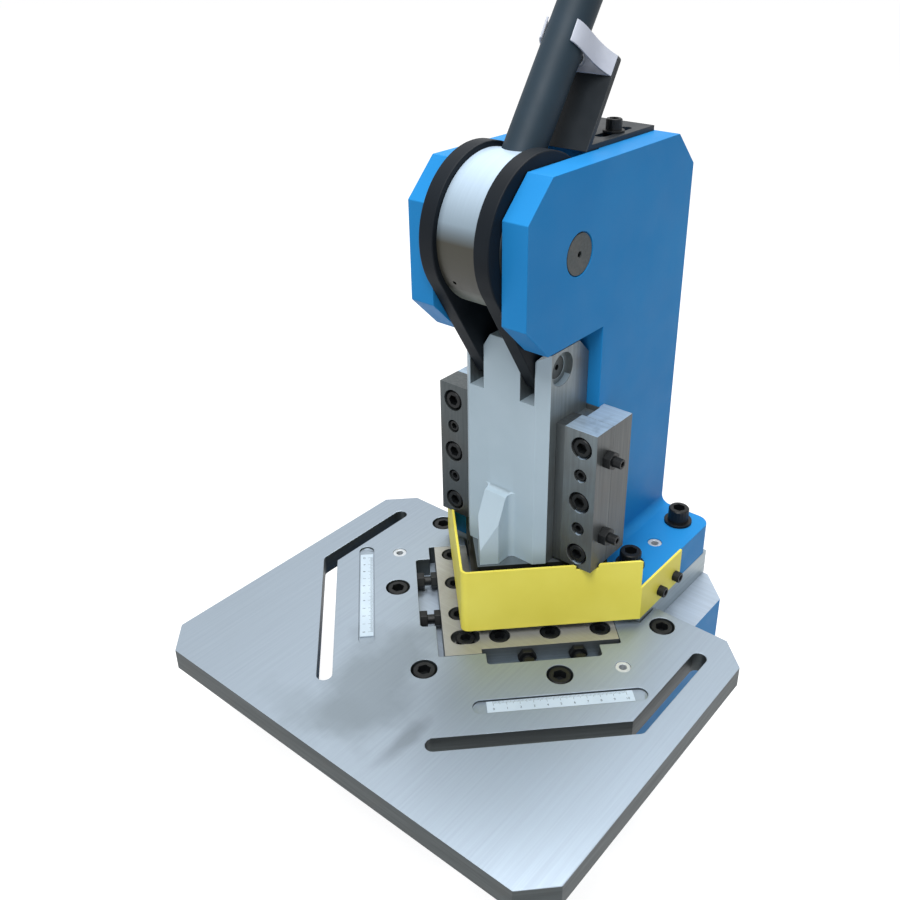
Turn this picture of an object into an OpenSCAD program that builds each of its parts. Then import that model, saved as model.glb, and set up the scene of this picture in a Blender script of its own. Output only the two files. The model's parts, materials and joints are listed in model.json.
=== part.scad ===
// Corner notcher for sheet metal, worked by a hand lever.
// X runs across, Y to the back and Z up. The origin is on the bench, midway between the base bolts.

/* [Base] */
// Width of the base
base_w = 260; // [240:1:280]
// Depth of the base, front to back
base_d = 300; // [290:1:320]
// Height of the base
base_h = 90; // [80:1:120]
// Thickness of the base's side walls
base_wall = 14; // [10:1:20]
// Thickness of the base's machined top
base_top = 20; // [18:1:26]
// Cut across each rear corner of the base
base_corner = 25; // [0:1:40]
// Cut across each front corner of the base, which keeps it clear of the stop slots
base_front_corner = 75; // [70:1:80]
// Width of the scrap outlet in the base's front
outlet_w = 90; // [70:1:95]
// Height of the scrap outlet
outlet_h = 60; // [40:1:64]
// Side to side distance of the bench bolts
bench_bolt_x = 190; // [170:1:194]
// Front to back distance of the bench bolts
bench_bolt_y = 156; // [140:1:158]
// Side of the square bosses that hold the bench bolts
boss_side = 44; // [36:1:60]

/* [Table] */
// Width of the table
table_w = 377; // [350:1:400]
// Distance from the pivot line to the table's front edge
table_front = 222; // [200:1:240]
// Distance from the pivot line to the table's rear edge
table_rear = 59; // [55:1:80]
// Thickness of the table
table_t = 18; // [16:1:22]
// Cut across each corner of the table
table_corner = 21.5; // [10:0.5:30]
// Width of the angled stop slots
slot_w = 12; // [8:0.5:14]
// Distance of a stop slot from the blade edge
slot_off = 122; // [116:1:124]
// Where a stop slot starts along the blade direction
slot_start = -43.5; // [-60:0.5:0]
// Distance of a stop slot's straight rear leg from the table's side
slot_edge = 29.5; // [24:0.5:38]
// Rear end of that leg, measured from the pivot line
slot_leg_y = 27; // [0:1:40]

/* [Scales] */
// Distance of a scale's centre line from the blade edge
scale_off = 90; // [80:1:100]
// Length of a scale strip
scale_len = 110; // [100:1:120]
// Width of a scale strip
scale_w = 11; // [8:0.5:12]
// Thickness of a scale strip
scale_t = 1; // [0.5:0.1:1.5]
// Where a strip starts along the blade direction
scale_start = -2.5; // [-10:0.5:10]
// Depth of the pocket a strip lies in
scale_pocket = 2; // [1.6:0.1:3]

/* [Dies] */
// Distance of the dies' inner corner in front of the pivot line
die_apex = 50; // [48:0.5:52]
// Width of a die block
die_w = 29; // [27:0.5:32]
// Length of a die block beyond its blade's rear end
die_over = 6.5; // [2:0.5:7]
// Distance of the table's cut-out wall from the blade edge
die_room = 34; // [33:0.5:36]
// Distance of the far wall of the jack screw pockets from the blade edge
jack_room = 46.5; // [45:0.5:50]
// Place of the right die's front jack screw along the blade
jack_right_in = 36; // [30:0.5:40]
// Distance of the right die's rear jack screw from the die's rear end
jack_right_end = 33.5; // [30:0.5:38]
// Place of the left die's front jack screw along the blade
jack_left_in = 22; // [18:0.5:30]
// Distance of the left die's rear jack screw from the die's rear end
jack_left_end = 37; // [30:0.5:40]
// Place of the first die screw along the blade
die_screw_in = 16; // [14:0.5:18]
// Distance of the last die screw from the die's rear end
die_screw_end = 12.5; // [11:0.5:14]
// Cutting clearance between an upper blade and its die
cut_clear = 0.05; // [0.03:0.01:0.1]
// Width of the scrap hole in the base behind the dies
scrap_w = 120; // [90:1:124]

/* [Column] */
// Height of the spacer plate under the column
spacer_t = 24; // [20:1:30]
// Thickness of the column's flange
flange_t = 30.5; // [26:0.5:36]
// Width of the column's flange
flange_w = 201; // [190:1:210]
// Room between the blades' rear corners and the column's front face
blade_room = 3.24; // [2:0.01:4]
// Distance from the pivot line to the column's back
column_back = 154; // [145:1:165]
// Width of the column and head
column_w = 101; // [96:1:110]
// Radius of the fillet between flange and column
column_fillet = 8; // [4:1:10]
// Radius of the flange's rear corners
flange_corner = 12; // [4:1:20]
// Side to side place of the flange's screws
flange_screw_x = 78; // [74:1:80]
// Distance of the flange's front screws behind the column's front face
flange_screw_in = 17.7; // [16:0.1:19]
// Front to back distance of the flange's screws
flange_screw_step = 81; // [76:1:84]
// Front to back place of the flange's dowels
flange_dowel_y = 94; // [85:1:100]

/* [Head] */
// Height of the head's top over the bench
head_top = 480; // [478:1:486]
// Height of the head's underside over the bench
head_under = 356; // [354:1:358]
// Distance from the pivot line to the head's front
head_front = 60; // [56:1:64]
// Size of the head's cut corners
head_cut = 26; // [20:1:30]
// Width of the pocket between the head's cheeks
pocket_w = 60; // [60:0.5:62]
// Distance from the pivot line to the pocket's rear wall
pocket_rear = 50; // [49:0.5:56]
// Depth of the relief behind the ram for the links
relief_drop = 21; // [20:1:26]

/* [Eccentric] */
// Height of the pivot over the bench
pivot_z = 420.5; // [419:0.5:422]
// Diameter of the pivot shaft
shaft_d = 30; // [26:1:32]
// Offset of the eccentric's centre from the pivot
ecc_e = 19.1; // [17:0.1:20]
// Direction of that offset at rest, up from straight back
ecc_angle = 144.4; // [142:0.1:147]
// Diameter of the eccentric's middle drum
drum_d = 108; // [104:1:110]
// Width of the middle drum
drum_w = 34; // [32:0.5:34]
// Diameter of the journals that carry the links
journal_d = 92; // [88:1:94]
// Outer diameter of a link's ring
ring_d = 116; // [112:1:118]
// Thickness of a link
link_t = 12.2; // [11:0.1:12.4]
// Outer diameter of a link's lower eye
link_eye_d = 40; // [38:1:42]
// Free play of the link pin in the eyes, all round
link_play = 4.6; // [4.5:0.1:5]
// Diameter of the link pin
link_pin_d = 18; // [16:1:18]
// Height of the link pin over the bench
link_pin_z = 331; // [330:0.5:333]
// Place of the link pin behind the pivot line
link_pin_y = 1; // [0:0.5:4]
// Wall of the two pivot bushes
bush_wall = 3; // [2:0.5:3.5]
// Length of one pivot bush
bush_len = 24; // [16:1:28]

/* [Ram] */
// Width of the ram
ram_w = 78.6; // [76:0.1:80]
// Distance of the ram's front face before the pivot line
ram_front = 20.8; // [19:0.1:22]
// Cut on the ram's front edges
ram_cut = 7.6; // [4:0.1:9]
// Height of the ram's underside over the bench
ram_bottom = 166; // [165:1:167]
// Height of the ram's side lugs over the bench
ram_top = 346.6; // [344:0.1:348]
// Height of the ram's middle tongue over the bench
tongue_top = 352.5; // [350:0.5:354]
// Width of the tongue
tongue_w = 34; // [32:0.5:34]
// Bottom of the link slots over the bench
slot_bottom = 306.5; // [304:0.5:307]
// Cut on the ram's rear top edge
ram_rear_cut = 13; // [8:1:16]
// How far a hidden guide rib stands out on each side
rib_out = 11.7; // [9:0.1:13]
// Width of the nose bar on the ram's front
nose_w = 20.6; // [18:0.1:24]
// Distance of the nose's edge before the pivot line
nose_front = 46.9; // [45:0.1:47]
// Radius in the corners between nose and ram
nose_fillet = 5; // [3:0.5:6]
// Height of the nose's top over the bench
nose_top = 225.5; // [220:0.5:230]
// Height where the nose's slope meets its edge
nose_edge_z = 179.5; // [175:0.5:190]

/* [Punch] */
// Height of the punch holder
holder_h = 42; // [38:1:43]
// Height of an upper blade
blade_h = 22; // [18:1:23]
// Thickness of an upper blade
blade_t = 12; // [10:1:14]
// Length of the blades from the corner
blade_len = 104; // [100:1:107]
// Height of the blade edge over the table at the corner
blade_gap = 10; // [9:1:12]
// Rise of the blade edge towards its far end
blade_rake = 4; // [2:0.5:6]
// Place of the first blade screw, as a share of the blade's length
blade_screw_first = 0.2885; // [0.26:0.0005:0.3]
// Place of the last blade screw, as a share of the blade's length
blade_screw_last = 0.75; // [0.74:0.005:0.8]
// Distance of the front punch screws behind the first blade screw, along the blade
punch_front_step = 13.1; // [12.5:0.1:14]
// Distance of the front punch screws from the blade's face
punch_front_in = 21.9; // [21:0.1:24]
// Distance of the rear punch screws before the last blade screw, along the blade
punch_rear_step = 13; // [12:0.1:14]
// Distance of the rear punch screws from the blade's face
punch_rear_in = 33.9; // [33:0.1:35]

/* [Guides] */
// Width across both guides
guide_w = 151; // [148:1:154]
// Height of the guides' lower end over the bench
guide_bottom = 168.5; // [168:0.5:170]
// Height of the guides' upper end over the bench
guide_top = 289.5; // [288:0.5:291]
// Distance of the guides' front before the pivot line
guide_front = 4.5; // [3:0.5:6]
// Distance of the seam between cover and block behind the pivot line
guide_seam = 17.6; // [16:0.2:19]
// Thickness of the guide block's web behind the ram
guide_web = 8; // [7:0.5:9]
// Side to side place of the screws that hold the guide block's web
web_screw_x = 28; // [24:1:30]
// Height step between those screws
web_screw_step = 38; // [34:1:40]
// Thickness of a gib strip
gib_t = 7.6; // [6:0.2:9]
// Side to side place of the cover screws
cover_screw_x = 62; // [60:0.5:63]
// Height of the middle cover screw over the bench
cover_screw_z = 228; // [227:1:230]
// Height step between the large cover screws
cover_pitch = 47.2; // [46:0.2:48]
// Place of the gib screws behind the pivot line
gib_screw_y = 10.2; // [10:0.1:11]
// Heights of the gib screws over the bench
gib_screw_z = [197, 265];

/* [Guard] */
// Thickness of the guard's sheet
guard_t = 2; // [1.5:0.5:3]
// Room between the guard's side bends and the column's front face
guard_room = 3.4; // [1:0.1:5]
// Height of the guard's lower edge over the bench
guard_bottom = 114.3; // [114.1:0.1:116]
// Height of the guard's upper edge over the bench
guard_top = 171.5; // [165:0.5:173]
// Height of the fixing tabs' upper edge over the bench
tab_top = 146; // [144:0.5:148]
// Rear end of the fixing tabs behind the pivot line
tab_end = 97; // [95:1:105]
// Outer radius of the guard's front bend
guard_bend = 6; // [4:0.5:8]
// Places of the tab screws behind the pivot line
tab_screw_y = [62, 87];
// Height of the tab screws over the bench
tab_screw_z = 125; // [122:1:130]

/* [Handle] */
// Outer diameter of the handle tube
tube_d = 29.5; // [28:0.5:30]
// Bore of the handle tube
tube_bore = 20; // [18:0.5:22]
// Lean of the handle at rest, up from straight back
tube_angle = 56; // [54:0.5:57]
// Distance of the handle's axis before the pivot
tube_off = 33; // [32:0.5:34]
// Length of the handle tube outside the eccentric
tube_out = 560; // [400:10:700]
// Depth of the tube's seat in the eccentric
tube_seat = 28; // [24:1:30]
// Length of the stud below the tube's end
stud_drop = 15; // [10:1:16]
// Diameter of the hand grip
grip_d = 37; // [34:1:42]
// Length of the hand grip
grip_len = 125; // [100:5:150]

/* [Handle rest] */
// Thickness of the rest bracket's plate
rest_t = 4; // [3:0.5:5]
// Width of the rest bracket
rest_w = 59; // [50:1:60]
// Lean of the bracket's upright, up from straight back
rest_angle = 58.5; // [57:0.5:60]
// Place of the upright's front face on the head's top
rest_front = 34.2; // [33:0.2:36]
// Rear end of the bracket's foot behind the pivot line
rest_end = 126; // [118:1:127]
// Length of the upright
rest_len = 70; // [66:1:80]
// Side to side place of the foot's slots
rest_slot_x = 18; // [14:1:20]
// Front to back place of the foot's slots
rest_slot_y = 87; // [84:1:90]
// Length of the foot's slots
rest_slot_len = 42; // [20:1:50]
// Width of the handle clip along the handle
clip_w = 15; // [12:1:18]
// Thickness of the clip's strip
clip_t = 1.5; // [1:0.1:2]
// Place of the clip's middle along the upright
clip_at = 62; // [50:1:62]

/* [Fits] */
// Clearance all round in fixed joints
fit = 0.05; // [0.02:0.01:0.1]
// Clearance all round in sliding and turning joints
run = 0.05; // [0.02:0.01:0.1]

/* [Hidden] */
$fn = 64;

m6 = 6;
m8 = 8;
m10 = 10;
m12 = 12;
root2 = sqrt(2);
over = 1;
table_z = base_h + table_t;
flange_z = base_h + spacer_t;
flange_top = flange_z + flange_t;
die_len = blade_len + die_over;
die_screws_at = [die_screw_in, (die_screw_in + die_len - die_screw_end) / 2, die_len - die_screw_end];
jack_right = [jack_right_in, die_len - jack_right_end];
jack_left = [jack_left_in, die_len - jack_left_end];
blade_screws_at = [blade_screw_first * blade_len, blade_screw_last * blade_len];
column_front = (blade_len + cut_clear + blade_t) / root2 - die_apex + blade_room;
ram_rear = column_front - run;
half_ram = ram_w / 2;
rib_x = half_ram + rib_out;
gib_x = half_ram + run;
cover_x = gib_x + gib_t;
link_in = drum_w / 2 + 0.3;
link_out = link_in + link_t;
ecc = [ecc_e * cos(ecc_angle), pivot_z + ecc_e * sin(ecc_angle)];
pin = [link_pin_y, link_pin_z];
holder_z = ram_bottom - holder_h;
blade_z = table_z + blade_gap;
blade_top = blade_z + blade_h;
guard_x = flange_w / 2 + guard_t;
guard_apex = guard_x - column_front + guard_room;
tube_dir = [cos(tube_angle), sin(tube_angle)];
tube_norm = [-sin(tube_angle), cos(tube_angle)];
tube_foot = [0, pivot_z] + tube_off * tube_norm;
ecc_side = (ecc - tube_foot) * tube_norm;
ecc_along = (ecc - tube_foot) * tube_dir;
tube_exit = ecc_along + sqrt(pow(drum_d / 2, 2) - pow(ecc_side, 2));
rest_dir = [cos(rest_angle), sin(rest_angle)];
washer_12 = 2.5;
washer_8 = 1.6;

function head_dia(d) = 1.5 * d;
function socket_width(d) = d == m12 ? 10 : d == m10 ? 8 : d == m8 ? 6 : 5;
function nut_width(d) = d == m8 ? 13 : 10;
function bezier(p, n) = [for (i = [0 : n]) let (t = i / n)
    pow(1 - t, 3) * p[0] + 3 * t * pow(1 - t, 2) * p[1] + 3 * t * t * (1 - t) * p[2] + pow(t, 3) * p[3]];

module both() {
    children();
    mirror([1, 0, 0]) children();
}

module block(low, high) {
    translate(low) cube(high - low);
}

module yz(x0, x1) {
    translate([x0, 0, 0]) rotate([90, 0, 90]) linear_extrude(x1 - x0) children();
}

module xz(y0, y1) {
    translate([0, y1, 0]) rotate([90, 0, 0]) linear_extrude(y1 - y0) children();
}

// Places its children with X along the right blade edge and Y inwards, away from the die.
module arm() {
    translate([0, -die_apex, 0]) rotate([0, 0, 45]) children();
}

// Places its children with X across, Y square to the handle and Z along it, from its foot beside the pivot.
module on_handle() {
    translate([0, tube_foot[0], tube_foot[1]]) rotate([tube_angle - 90, 0, 0]) children();
}

// Places its children with Z up the rest bracket's upright and Y backwards from its front face.
module on_rest() {
    translate([0, rest_front, head_top]) rotate([rest_angle - 90, 0, 0]) children();
}

module socket(d, top) {
    translate([0, 0, top - d / 2]) cylinder(d = socket_width(d) / cos(30), h = d / 2 + over, $fn = 6);
}

// A cap screw with its head's seat at the origin and its head towards +Z.
module cap_screw(d, length) {
    difference() {
        union() {
            cylinder(d = head_dia(d), h = d);
            translate([0, 0, -length]) cylinder(d = d, h = length + over);
        }
        socket(d, d);
    }
}

// The hole for a cap screw with its seat at the origin: a counterbore above and the shank's hole below.
module screw_hole(d, length, bore, above) {
    translate([0, 0, -length - over]) cylinder(d = d + 2 * fit, h = length + 2 * over);
    cylinder(d = bore, h = above);
}

module rounded_box(low, high, z0, z1, r) {
    for (x = [low[0] + r, high[0] - r], y = [low[1] + r, high[1] - r])
        translate([x, y, z0]) cylinder(r = r, h = z1 - z0);
    block([low[0] + r, low[1], z0], [high[0] - r, high[1], z1]);
    block([low[0], low[1] + r, z0], [high[0], high[1] - r, z1]);
}

module capsule(a, b, w, z0, z1) {
    run_len = norm(b - a);
    for (p = [a, b]) translate([p[0], p[1], z0]) cylinder(d = w, h = z1 - z0);
    translate([a[0], a[1], z0]) rotate([0, 0, atan2(b[1] - a[1], b[0] - a[0])])
        translate([0, -w / 2, 0]) cube([run_len, w, z1 - z0]);
}

// Places along the table and the base
table_screw_spots = [[-84.7, -54.9], [84.7, -54.9], [-117.7, 42.3], [117.7, 42.3], [0, -115.2]];
table_dowel_spots = [[-117.8, -17.6], [117.8, -17.6]];
die_mid = die_w / 2;
extra_screw = [-13.4, -11.3];
flange_screw_y = column_front + flange_screw_in;
flange_spots = [for (x = [-flange_screw_x, flange_screw_x], y = [0, flange_screw_step]) [x, flange_screw_y + y]];
flange_dowel_spots = [[-flange_screw_x, flange_dowel_y], [flange_screw_x, flange_dowel_y]];
cap_12_depth = m12 + 0.5;
cap_10_depth = m10 + 0.5;
cap_6_depth = m6 + 1;
screw_12_len = 25;
screw_10_len = 25;
column_screw_len = 75;
dowel_d = 12;

module at(spots, z) {
    for (p = spots) translate([p[0], p[1], z]) children();
}

module base_outline(inset) {
    half = base_w / 2 - inset;
    deep = base_d / 2 - inset;
    cut = base_corner - inset * (2 - root2);
    front = base_front_corner - inset * (2 - root2);
    polygon([[front - half, -deep], [half - front, -deep], [half, front - deep], [half, deep - cut],
             [half - cut, deep], [cut - half, deep], [-half, deep - cut], [-half, front - deep]]);
}

module scrap_outline() {
    ledge = die_apex - 4;
    half = scrap_w / 2;
    back = column_front - 5;
    polygon([[0, -ledge], [half, half - ledge], [half, back], [-half, back], [-half, half - ledge]]);
}

module base_casting() {
    color("steelblue") difference() {
        linear_extrude(base_h) base_outline(0);
        difference() {
            translate([0, 0, -over]) linear_extrude(base_h - base_top + over) base_outline(base_wall);
            for (x = [-1, 1], y = [-1, 1]) translate([x * bench_bolt_x / 2, y * bench_bolt_y / 2, 0])
                translate([-boss_side / 2, -boss_side / 2, -2 * over]) cube([boss_side, boss_side, base_h]);
        }
        block([-outlet_w / 2, -base_d / 2 - over, -over],
              [outlet_w / 2, over - base_d / 2 + base_wall, outlet_h]);
        translate([0, 0, base_h - base_top - over]) linear_extrude(base_top + 2 * over) scrap_outline();
        for (x = [-1, 1], y = [-1, 1]) translate([x * bench_bolt_x / 2, y * bench_bolt_y / 2, -over])
            cylinder(d = m12, h = 30 + over);
        at(table_screw_spots, base_h - base_top) cylinder(d = m12 + 2 * fit, h = base_top + over);
        at(table_dowel_spots, base_h - 13) cylinder(d = dowel_d + 2 * fit, h = 13 + over);
        at(flange_spots, base_h - base_top + 1) cylinder(d = m12 + 2 * fit, h = base_top + over);
        at(flange_dowel_spots, base_h - 12) cylinder(d = dowel_d + 2 * fit, h = 12 + over);
        both() arm() at([for (s = die_screws_at) [s, -die_mid]], base_h - base_top)
            cylinder(d = m10 + 2 * fit, h = base_top + over);
        mirror([1, 0, 0]) arm() at([extra_screw], base_h - base_top)
            cylinder(d = m10 + 2 * fit, h = base_top + over);
    }
}

module die_opening() {
    z0 = base_h - over;
    z1 = table_z + over;
    both() arm() {
        rounded_box([-die_room, -die_room], [die_len + 0.5, 0], z0, z1, 2);
        block([0, -die_room / 2, z0], [die_len + 0.5, 0, z1]);
        rounded_box([2.8, -jack_room], [die_len - 17.2, 0], z0, z1, 3);
    }
    translate([0, 0, z0]) linear_extrude(z1 - z0) {
        polygon([[0, -die_apex - 1], [die_apex + column_front + 1, column_front],
                 [-die_apex - column_front - 1, column_front]]);
    }
    block([-flange_w / 2 - 1, column_front - 0.5, z0], [flange_w / 2 + 1, table_rear + over, z1]);
}

module stop_slot() {
    near = [slot_start, -slot_off];
    slot_leg_x = table_w / 2 - slot_edge;
    corner_s = slot_leg_x * root2 - slot_off;
    arm() capsule(near, [corner_s, -slot_off], slot_w, base_h - over, table_z + over);
    capsule([slot_leg_x, (corner_s - slot_off) / root2 - die_apex], [slot_leg_x, slot_leg_y],
            slot_w, base_h - over, table_z + over);
}

module table_plate() {
    half = table_w / 2;
    c = table_corner;
    color("silver") difference() {
        translate([0, 0, base_h]) linear_extrude(table_t)
            polygon([[c - half, -table_front], [half - c, -table_front], [half, c - table_front],
                     [half, table_rear - c], [half - c, table_rear], [c - half, table_rear],
                     [-half, table_rear - c], [-half, c - table_front]]);
        die_opening();
        both() stop_slot();
        both() arm() capsule([scale_start - 4, -scale_off], [scale_start + scale_len + 4, -scale_off],
                             scale_w + 2, table_z - scale_pocket, table_z + over);
        at(table_screw_spots, table_z - cap_12_depth) screw_hole(m12, table_t, 20.6, table_t);
        at(table_dowel_spots, base_h - over) cylinder(d = dowel_d + 2 * fit, h = table_t + 2 * over);
    }
}

module table_screws() {
    color("dimgray") at(table_screw_spots, table_z - cap_12_depth) cap_screw(m12, screw_12_len);
}

module dowel(length) {
    difference() {
        cylinder(d = dowel_d, h = length);
        translate([0, 0, length - 12]) cylinder(d = m6, h = 12 + over);
    }
}

module table_dowels() {
    color("silver") at(table_dowel_spots, base_h - 13) dowel(table_t + 12.5);
}

module scale_strip() {
    arm() block([scale_start, -scale_off - scale_w / 2, table_z - scale_pocket],
                [scale_start + scale_len, scale_w / 2 - scale_off, table_z - scale_pocket + scale_t]);
}

module scale_left() {
    color("whitesmoke") mirror([1, 0, 0]) scale_strip();
}

module scale_right() {
    color("whitesmoke") scale_strip();
}

module die_holes(spots) {
    at(spots, table_z - cap_10_depth) screw_hole(m10, table_t, 17, table_t);
}

module die_block_left() {
    color("gray") mirror([1, 0, 0]) arm() difference() {
        block([0.3 - die_room, -die_w, base_h], [die_len, 0, table_z]);
        die_holes([for (s = die_screws_at) [s, -die_mid]]);
        translate([0, 0, table_z - cap_10_depth - table_t]) at([extra_screw], 0)
            cylinder(d = m10 + 2 * fit, h = 2 * table_t);
        capsule(extra_screw - [0, 3.5], extra_screw + [0, 3.5], 17, table_z - cap_10_depth, table_z + over);
    }
}

module die_block_right() {
    color("gray") arm() difference() {
        block([0, -die_w, base_h], [die_len, 0, table_z]);
        die_holes([for (s = die_screws_at) [s, -die_mid]]);
    }
}

module die_screw_set() {
    at([for (s = die_screws_at) [s, -die_mid]], table_z - cap_10_depth) cap_screw(m10, screw_10_len);
}

module die_screws_left() {
    color("dimgray") mirror([1, 0, 0]) arm() {
        die_screw_set();
        at([extra_screw], table_z - cap_10_depth) cap_screw(m10, screw_10_len);
    }
}

module die_screws_right() {
    color("dimgray") arm() die_screw_set();
}

jack_z = base_h + table_t / 2;
jack_head = 5.3;
nut_h = 6.5;

module jack_screw() {
    rotate([90, 0, 0]) {
        cylinder(d = nut_width(m8) / cos(30), h = jack_head, $fn = 6);
        cylinder(d = m8, h = jack_room - die_w - 2);
    }
}

module jack_nut() {
    rotate([90, 0, 0]) difference() {
        cylinder(d = nut_width(m8) / cos(30), h = nut_h, $fn = 6);
        translate([0, 0, -over]) cylinder(d = m8 + 2 * fit, h = nut_h + 2 * over);
    }
}

module jack_screws() {
    color("dimgray") {
        arm() for (s = jack_right) translate([s, -die_w, jack_z]) jack_screw();
        mirror([1, 0, 0]) arm() for (s = jack_left) translate([s, -die_w, jack_z]) jack_screw();
    }
}

module jack_nuts() {
    color("dimgray") {
        arm() for (s = jack_right) translate([s, nut_h - jack_room, jack_z]) jack_nut();
        mirror([1, 0, 0]) arm() for (s = jack_left) translate([s, nut_h - jack_room, jack_z]) jack_nut();
    }
}

module flange_holes(z0, z1) {
    at(flange_spots, z0 - over) cylinder(d = m12 + 2 * fit, h = z1 - z0 + 2 * over);
    at(flange_dowel_spots, z0 - over) cylinder(d = dowel_d + 2 * fit, h = z1 - z0 + 2 * over);
}

module spacer_plate() {
    color("gray") difference() {
        block([-flange_w / 2, column_front, base_h], [flange_w / 2, column_back - 3, flange_z]);
        flange_holes(base_h, flange_z);
    }
}

module column_side() {
    c = head_cut;
    polygon([[column_front, flange_z], [column_back, flange_z], [column_back, head_top - c],
             [column_back - c, head_top],
             [c - head_front, head_top], [-head_front, head_top - c], [-head_front, head_under + c],
             [c - head_front, head_under], [column_front, head_under]]);
}

module flange_fillet() {
    x = column_w / 2;
    r = column_fillet;
    xz(column_front, column_back) difference() {
        translate([x - over, flange_top - over]) square(r + over);
        translate([x + r, flange_top + r]) circle(r);
    }
}

tab_screw_len = 14;

module column_casting() {
    color("royalblue") difference() {
        union() {
            yz(-column_w / 2, column_w / 2) column_side();
            difference() {
                union() {
                    block([-flange_w / 2, column_front, flange_z],
                          [flange_w / 2, column_back - flange_corner, flange_top]);
                    block([flange_corner - flange_w / 2, column_front, flange_z],
                          [flange_w / 2 - flange_corner, column_back, flange_top]);
                    both() translate([flange_w / 2 - flange_corner, column_back - flange_corner, flange_z])
                        cylinder(r = flange_corner, h = flange_t);
                }
                flange_holes(flange_z, flange_top);
            }
            both() flange_fillet();
        }
        block([-pocket_w / 2, -head_front - over, head_under - over],
              [pocket_w / 2, pocket_rear, head_top + over]);
        block([-pocket_w / 2, column_front - over, head_under - relief_drop],
              [pocket_w / 2, pocket_rear, head_top]);
        block([-column_w / 2 - over, column_front - over, guide_bottom],
              [column_w / 2 + over, column_front + guide_web, guide_top]);
        translate([-column_w, 0, pivot_z]) rotate([0, 90, 0])
            cylinder(d = shaft_d + 2 * fit, h = 2 * column_w);
        both() translate([column_w / 2 - 1.5, 0, pivot_z]) rotate([0, 90, 0])
            cylinder(d = shaft_d + 1.4, h = 3);
        at(rest_screw_spots, head_top - 20) cylinder(d = m8 + 2 * fit, h = 21);
        both() for (y = tab_screw_y) translate([flange_w / 2 - tab_screw_len, y, tab_screw_z])
            rotate([0, 90, 0]) cylinder(d = m6 + 2 * fit, h = tab_screw_len + over);
        for (p = web_spots) translate([p[0], column_front + guide_web - over, p[1]])
            rotate([-90, 0, 0]) cylinder(d = m8 + 2 * fit, h = 20);
    }
}

module column_screws() {
    color("dimgray") at(flange_spots, flange_top + washer_12) cap_screw(m12, column_screw_len);
}

module column_washers() {
    color("dimgray") at(flange_spots, flange_top) difference() {
        cylinder(d = 24, h = washer_12);
        translate([0, 0, -over]) cylinder(d = m12 + 2 * fit, h = washer_12 + 2 * over);
    }
}

module column_dowels() {
    color("silver") at(flange_dowel_spots, base_h - 12) dowel(spacer_t + flange_t + 11);
}

web_spots = [for (x = [-web_screw_x, web_screw_x],
                  z = [cover_screw_z - web_screw_step, cover_screw_z, cover_screw_z + web_screw_step]) [x, z]];
web_head_d = 16;
web_head_h = 4;
web_screw_len = 24;
small_screw_z = [cover_screw_z - cover_pitch / 2, cover_screw_z + cover_pitch / 2];
large_screw_z = [cover_screw_z - cover_pitch, cover_screw_z, cover_screw_z + cover_pitch];
large_seat = cap_10_depth - guide_front;
small_seat = cap_6_depth - guide_front;
cover_screw_len = 30;

// Places its children with Z towards the machine's front, at the given place on a guide cover.
module facing(x, y, z) {
    translate([x, y, z]) rotate([90, 0, 0]) children();
}

module guide_block() {
    rear = column_front + guide_web;
    color("slategray") difference() {
        block([-guide_w / 2, guide_seam, guide_bottom], [guide_w / 2, rear, guide_top]);
        block([-rib_x - run, guide_seam - over, guide_bottom - over],
              [rib_x + run, column_front, guide_top + over]);
        both() {
            for (z = large_screw_z) facing(cover_screw_x, large_seat, z)
                screw_hole(m10, cover_screw_len, 1, 0.1);
            for (z = small_screw_z) facing(cover_screw_x, small_seat, z)
                screw_hole(m6, cover_screw_len, 1, 0.1);
        }
        for (p = web_spots) translate([p[0], column_front - over, p[1]]) rotate([-90, 0, 0]) {
            cylinder(d = m8 + 2 * fit, h = guide_web + 2 * over);
            cylinder(d = web_head_d + 2 * fit, h = web_head_h + over + 0.2);
        }
    }
}

module guide_block_screws() {
    color("dimgray") for (p = web_spots) facing(p[0], column_front + 0.2, p[1]) difference() {
        union() {
            translate([0, 0, -web_head_h]) cylinder(d = web_head_d, h = web_head_h);
            translate([0, 0, -web_screw_len]) cylinder(d = m8, h = web_screw_len - over);
        }
        translate([0, 0, -2.5]) cylinder(d = 5 / cos(30), h = 3, $fn = 6);
    }
}

module guide_cover(inner) {
    difference() {
        block([inner, -guide_front, guide_bottom], [guide_w / 2, guide_seam, guide_top]);
        for (z = large_screw_z) facing(cover_screw_x, large_seat, z) screw_hole(m10, cover_screw_len, 18, 20);
        for (z = small_screw_z) facing(cover_screw_x, small_seat, z) screw_hole(m6, cover_screw_len, 11, 20);
    }
}

// The left guide is fixed and bears on the ram itself; only the right one has a gib.
module guide_cover_left() {
    color("slategray") mirror([1, 0, 0]) guide_cover(gib_x);
}

module guide_cover_right() {
    color("slategray") difference() {
        guide_cover(cover_x);
        for (z = gib_screw_z) translate([cover_x - over, gib_screw_y, z])
            rotate([0, 90, 0]) cylinder(d = m8 + 2 * fit, h = guide_w / 2);
    }
}

module guide_screws() {
    color("dimgray") both() for (z = large_screw_z)
        facing(cover_screw_x, large_seat, z) cap_screw(m10, cover_screw_len);
}

module guide_small_screws() {
    color("dimgray") both() for (z = small_screw_z)
        facing(cover_screw_x, small_seat, z) cap_screw(m6, cover_screw_len);
}

module gib_strip_right() {
    color("darkslategray") block([gib_x, -guide_front, guide_bottom], [cover_x, guide_seam, guide_top]);
}

gib_screw_out = 13.5;

module gib_set_screws() {
    length = guide_w / 2 + gib_screw_out - cover_x;
    color("dimgray") for (z = gib_screw_z)
        translate([cover_x, gib_screw_y, z]) rotate([0, 90, 0]) difference() {
        cylinder(d = m8, h = length);
        translate([0, 0, length - 4]) cylinder(d = 4 / cos(30), h = 5, $fn = 6);
    }
}

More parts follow.
